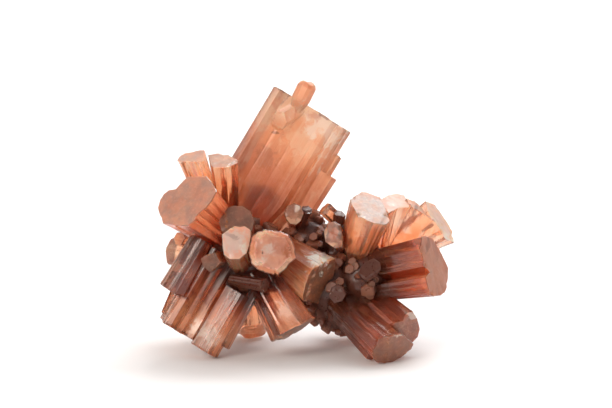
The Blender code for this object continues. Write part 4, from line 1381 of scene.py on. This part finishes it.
class SPECIMEN_OT_small_crystals(bpy.types.Operator):
    """Grows the mass of small crystals in the middle"""

    bl_idname = "specimen.small_crystals"
    bl_label = "Small Crystals"
    bl_options = {"REGISTER", "UNDO"}

    def execute(self, context):
        scene = context.scene
        relief = scene.crystal_relief
        material = mass_finish(scene.mineral_colours)
        chance = random.Random(scene.small_crystals.seed + 100)
        mass = rounded_lump(*LUMPS[0])
        extras = [rounded_lump(*lump) for lump in LUMPS[1:]]
        for number, growth in enumerate(TOLD_APART):
            extras.append(grow(f"told_apart_{number}", growth, chance, relief))
        combined(mass, extras)
        mass.name = "crystal_mass"
        creased(mass, 30.0)
        mass.data.materials.clear()
        mass.data.materials.append(material)
        for face in mass.data.polygons:
            face.material_index = 0
        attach(mass, "root")
        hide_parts("small_crystals")

        unit = small_crystal_mesh()
        seeds = bpy.data.objects.new("seeds", seed_mesh(seed_points(scene.small_crystals)))
        scene.collection.objects.link(seeds)
        tree, size = small_crystal_tree(unit, material)
        modifier = seeds.modifiers.new("stand crystals", "NODES")
        modifier.node_group = tree
        modifier[size] = 1.0
        context.view_layer.update()
        evaluated = seeds.evaluated_get(context.evaluated_depsgraph_get())
        result = bpy.data.meshes.new_from_object(evaluated)
        seeds.modifiers.clear()
        seeds.data = result
        seeds.name = "small_crystal_points"
        bpy.data.objects.remove(unit)
        if not result.polygons:
            raise RuntimeError("the small crystals' node tree made nothing")
        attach(seeds, "root")
        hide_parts("small_crystals")
        return {"FINISHED"}


# The stage, in metres.
FLOOR_TONES = (0.86, 0.88)
FLOOR_DROP = 0.00002
FRONTWARD = (0.0, -0.97, 0.24)
HORIZON_GLOW = (0.86, 0.56, 0.43, 1.0)
GLOW_HEIGHT = 0.45
WHITE = (1.0, 1.0, 1.0, 1.0)
KEY_PLACE, KEY_SIZE = (0.16, 0.26, 0.42), (0.35, 0.25)
FRONT_PLACE, FRONT_SIZE = (-0.30, -0.40, 0.30), (0.25, 0.25)
FRONT_SHARE = 0.9
WARM = (1.0, 0.88, 0.79)
LIT_MIDDLE = (0.0, 0.0, 0.022)
# What the camera looks at, in the front plane's frame.
AIM = (0.0, 31.2, 0.0)


def softbox(name, place, size, power, colour=WHITE[:3]):
    """A large soft light that points at the specimen."""
    light = bpy.data.lights.new(name, "AREA")
    light.shape = "RECTANGLE"
    light.size, light.size_y = size
    light.energy = power
    light.color = colour
    made = bpy.data.objects.new(name, light)
    made.location = place
    way = Vector(LIT_MIDDLE) - Vector(place)
    made.rotation_euler = way.to_track_quat("-Z", "Y").to_euler()
    bpy.context.scene.collection.objects.link(made)


def lay_floor():
    """The pale floor, a hair below the feet."""
    mesh = bmesh.new()
    bmesh.ops.create_grid(mesh, x_segments=8, y_segments=8, size=3.0)
    floor = linked("floor", mesh)
    floor.location.z = -FLOOR_DROP
    white, wire, shader = new_material("floor_paper")
    place = wire.node("ShaderNodeTexCoord").outputs["Object"]
    tone = wire.range(wire.noise(place, 40.0, 3.0), 0.3, 0.7, *FLOOR_TONES)
    wire.fill(shader, {"Base Color": tone, "Roughness": 0.75})
    floor.data.materials.append(white)


def surround(stage):
    """White surroundings that are darker in front and glow warmly at the horizon."""
    world = bpy.data.worlds.new("studio")
    world.use_nodes = True
    wire = Wiring(world.node_tree)
    way = wire.node("ShaderNodeTexCoord").outputs["Generated"]
    frontal = wire.vector("DOT_PRODUCT", way, FRONTWARD)
    height = wire.vector("DOT_PRODUCT", way, (0.0, 0.0, 1.0))
    wire.fill(world.node_tree.nodes["Background"], {
        "Strength": wire.range(frontal, -0.1, 0.9, stage.sky, stage.front),
        "Color": wire.mix(wire.range(height, 0.0, GLOW_HEIGHT), HORIZON_GLOW, WHITE),
    })
    bpy.context.scene.world = world


def place_camera(stage):
    """The camera at the photo's angle, far away behind a long lens."""
    lens = bpy.data.cameras.new("camera")
    lens.lens = stage.lens
    lens.sensor_width = 36.0
    lens.clip_start = 0.01
    lens.clip_end = 20.0
    camera = bpy.data.objects.new("camera", lens)
    distance = stage.view_width * stage.lens / lens.sensor_width
    back = Vector((0, -math.cos(stage.elevation), math.sin(stage.elevation)))
    camera.location = stand(AIM) + SHIFT + back * distance
    camera.rotation_euler = (-back).to_track_quat("-Z", "Y").to_euler()
    bpy.context.scene.collection.objects.link(camera)
    bpy.context.scene.camera = camera


class SPECIMEN_OT_stage(bpy.types.Operator):
    """Sets the white floor, the soft light and the camera"""

    bl_idname = "specimen.stage"
    bl_label = "Studio Stage"
    bl_options = {"REGISTER", "UNDO"}

    def execute(self, context):
        stage = context.scene.studio_stage
        context.scene.view_settings.view_transform = "Standard"
        lay_floor()
        surround(stage)
        softbox("key", KEY_PLACE, KEY_SIZE, stage.softbox)
        softbox("front", FRONT_PLACE, FRONT_SIZE, stage.softbox * FRONT_SHARE, WARM)
        place_camera(stage)
        return {"FINISHED"}


class SPECIMEN_PT_panel(bpy.types.Panel):
    """The specimen's sizes, colours and steps"""

    bl_idname = "SPECIMEN_PT_panel"
    bl_label = "Aragonite Specimen"
    bl_space_type = "VIEW_3D"
    bl_region_type = "UI"
    bl_category = "Specimen"

    def draw(self, context):
        for name in SETTINGS:
            settings = getattr(context.scene, name)
            box = self.layout.box()
            for key in settings.__annotations__:
                box.prop(settings, key)
        for operator in OPERATORS:
            self.layout.operator(operator.bl_idname)


SETTINGS = {
    "crystal_relief": CrystalRelief,
    "mineral_colours": MineralColours,
    "small_crystals": SmallCrystals,
    "studio_stage": StudioStage,
}
OPERATORS = (
    SPECIMEN_OT_tall_crystal,
    SPECIMEN_OT_left_spray,
    SPECIMEN_OT_right_spray,
    SPECIMEN_OT_back_crystals,
    SPECIMEN_OT_small_crystals,
    SPECIMEN_OT_stage,
)


def register():
    for made in (*SETTINGS.values(), *OPERATORS, SPECIMEN_PT_panel):
        bpy.utils.register_class(made)
    for name, kind in SETTINGS.items():
        setattr(bpy.types.Scene, name, bpy.props.PointerProperty(type=kind))


def unregister():
    for name in SETTINGS:
        delattr(bpy.types.Scene, name)
    for made in reversed((*SETTINGS.values(), *OPERATORS, SPECIMEN_PT_panel)):
        bpy.utils.unregister_class(made)


def main():
    register()
    for operator in OPERATORS:
        group, _, name = operator.bl_idname.partition(".")
        getattr(getattr(bpy.ops, group), name)()


if __name__ == "__main__":
    main()
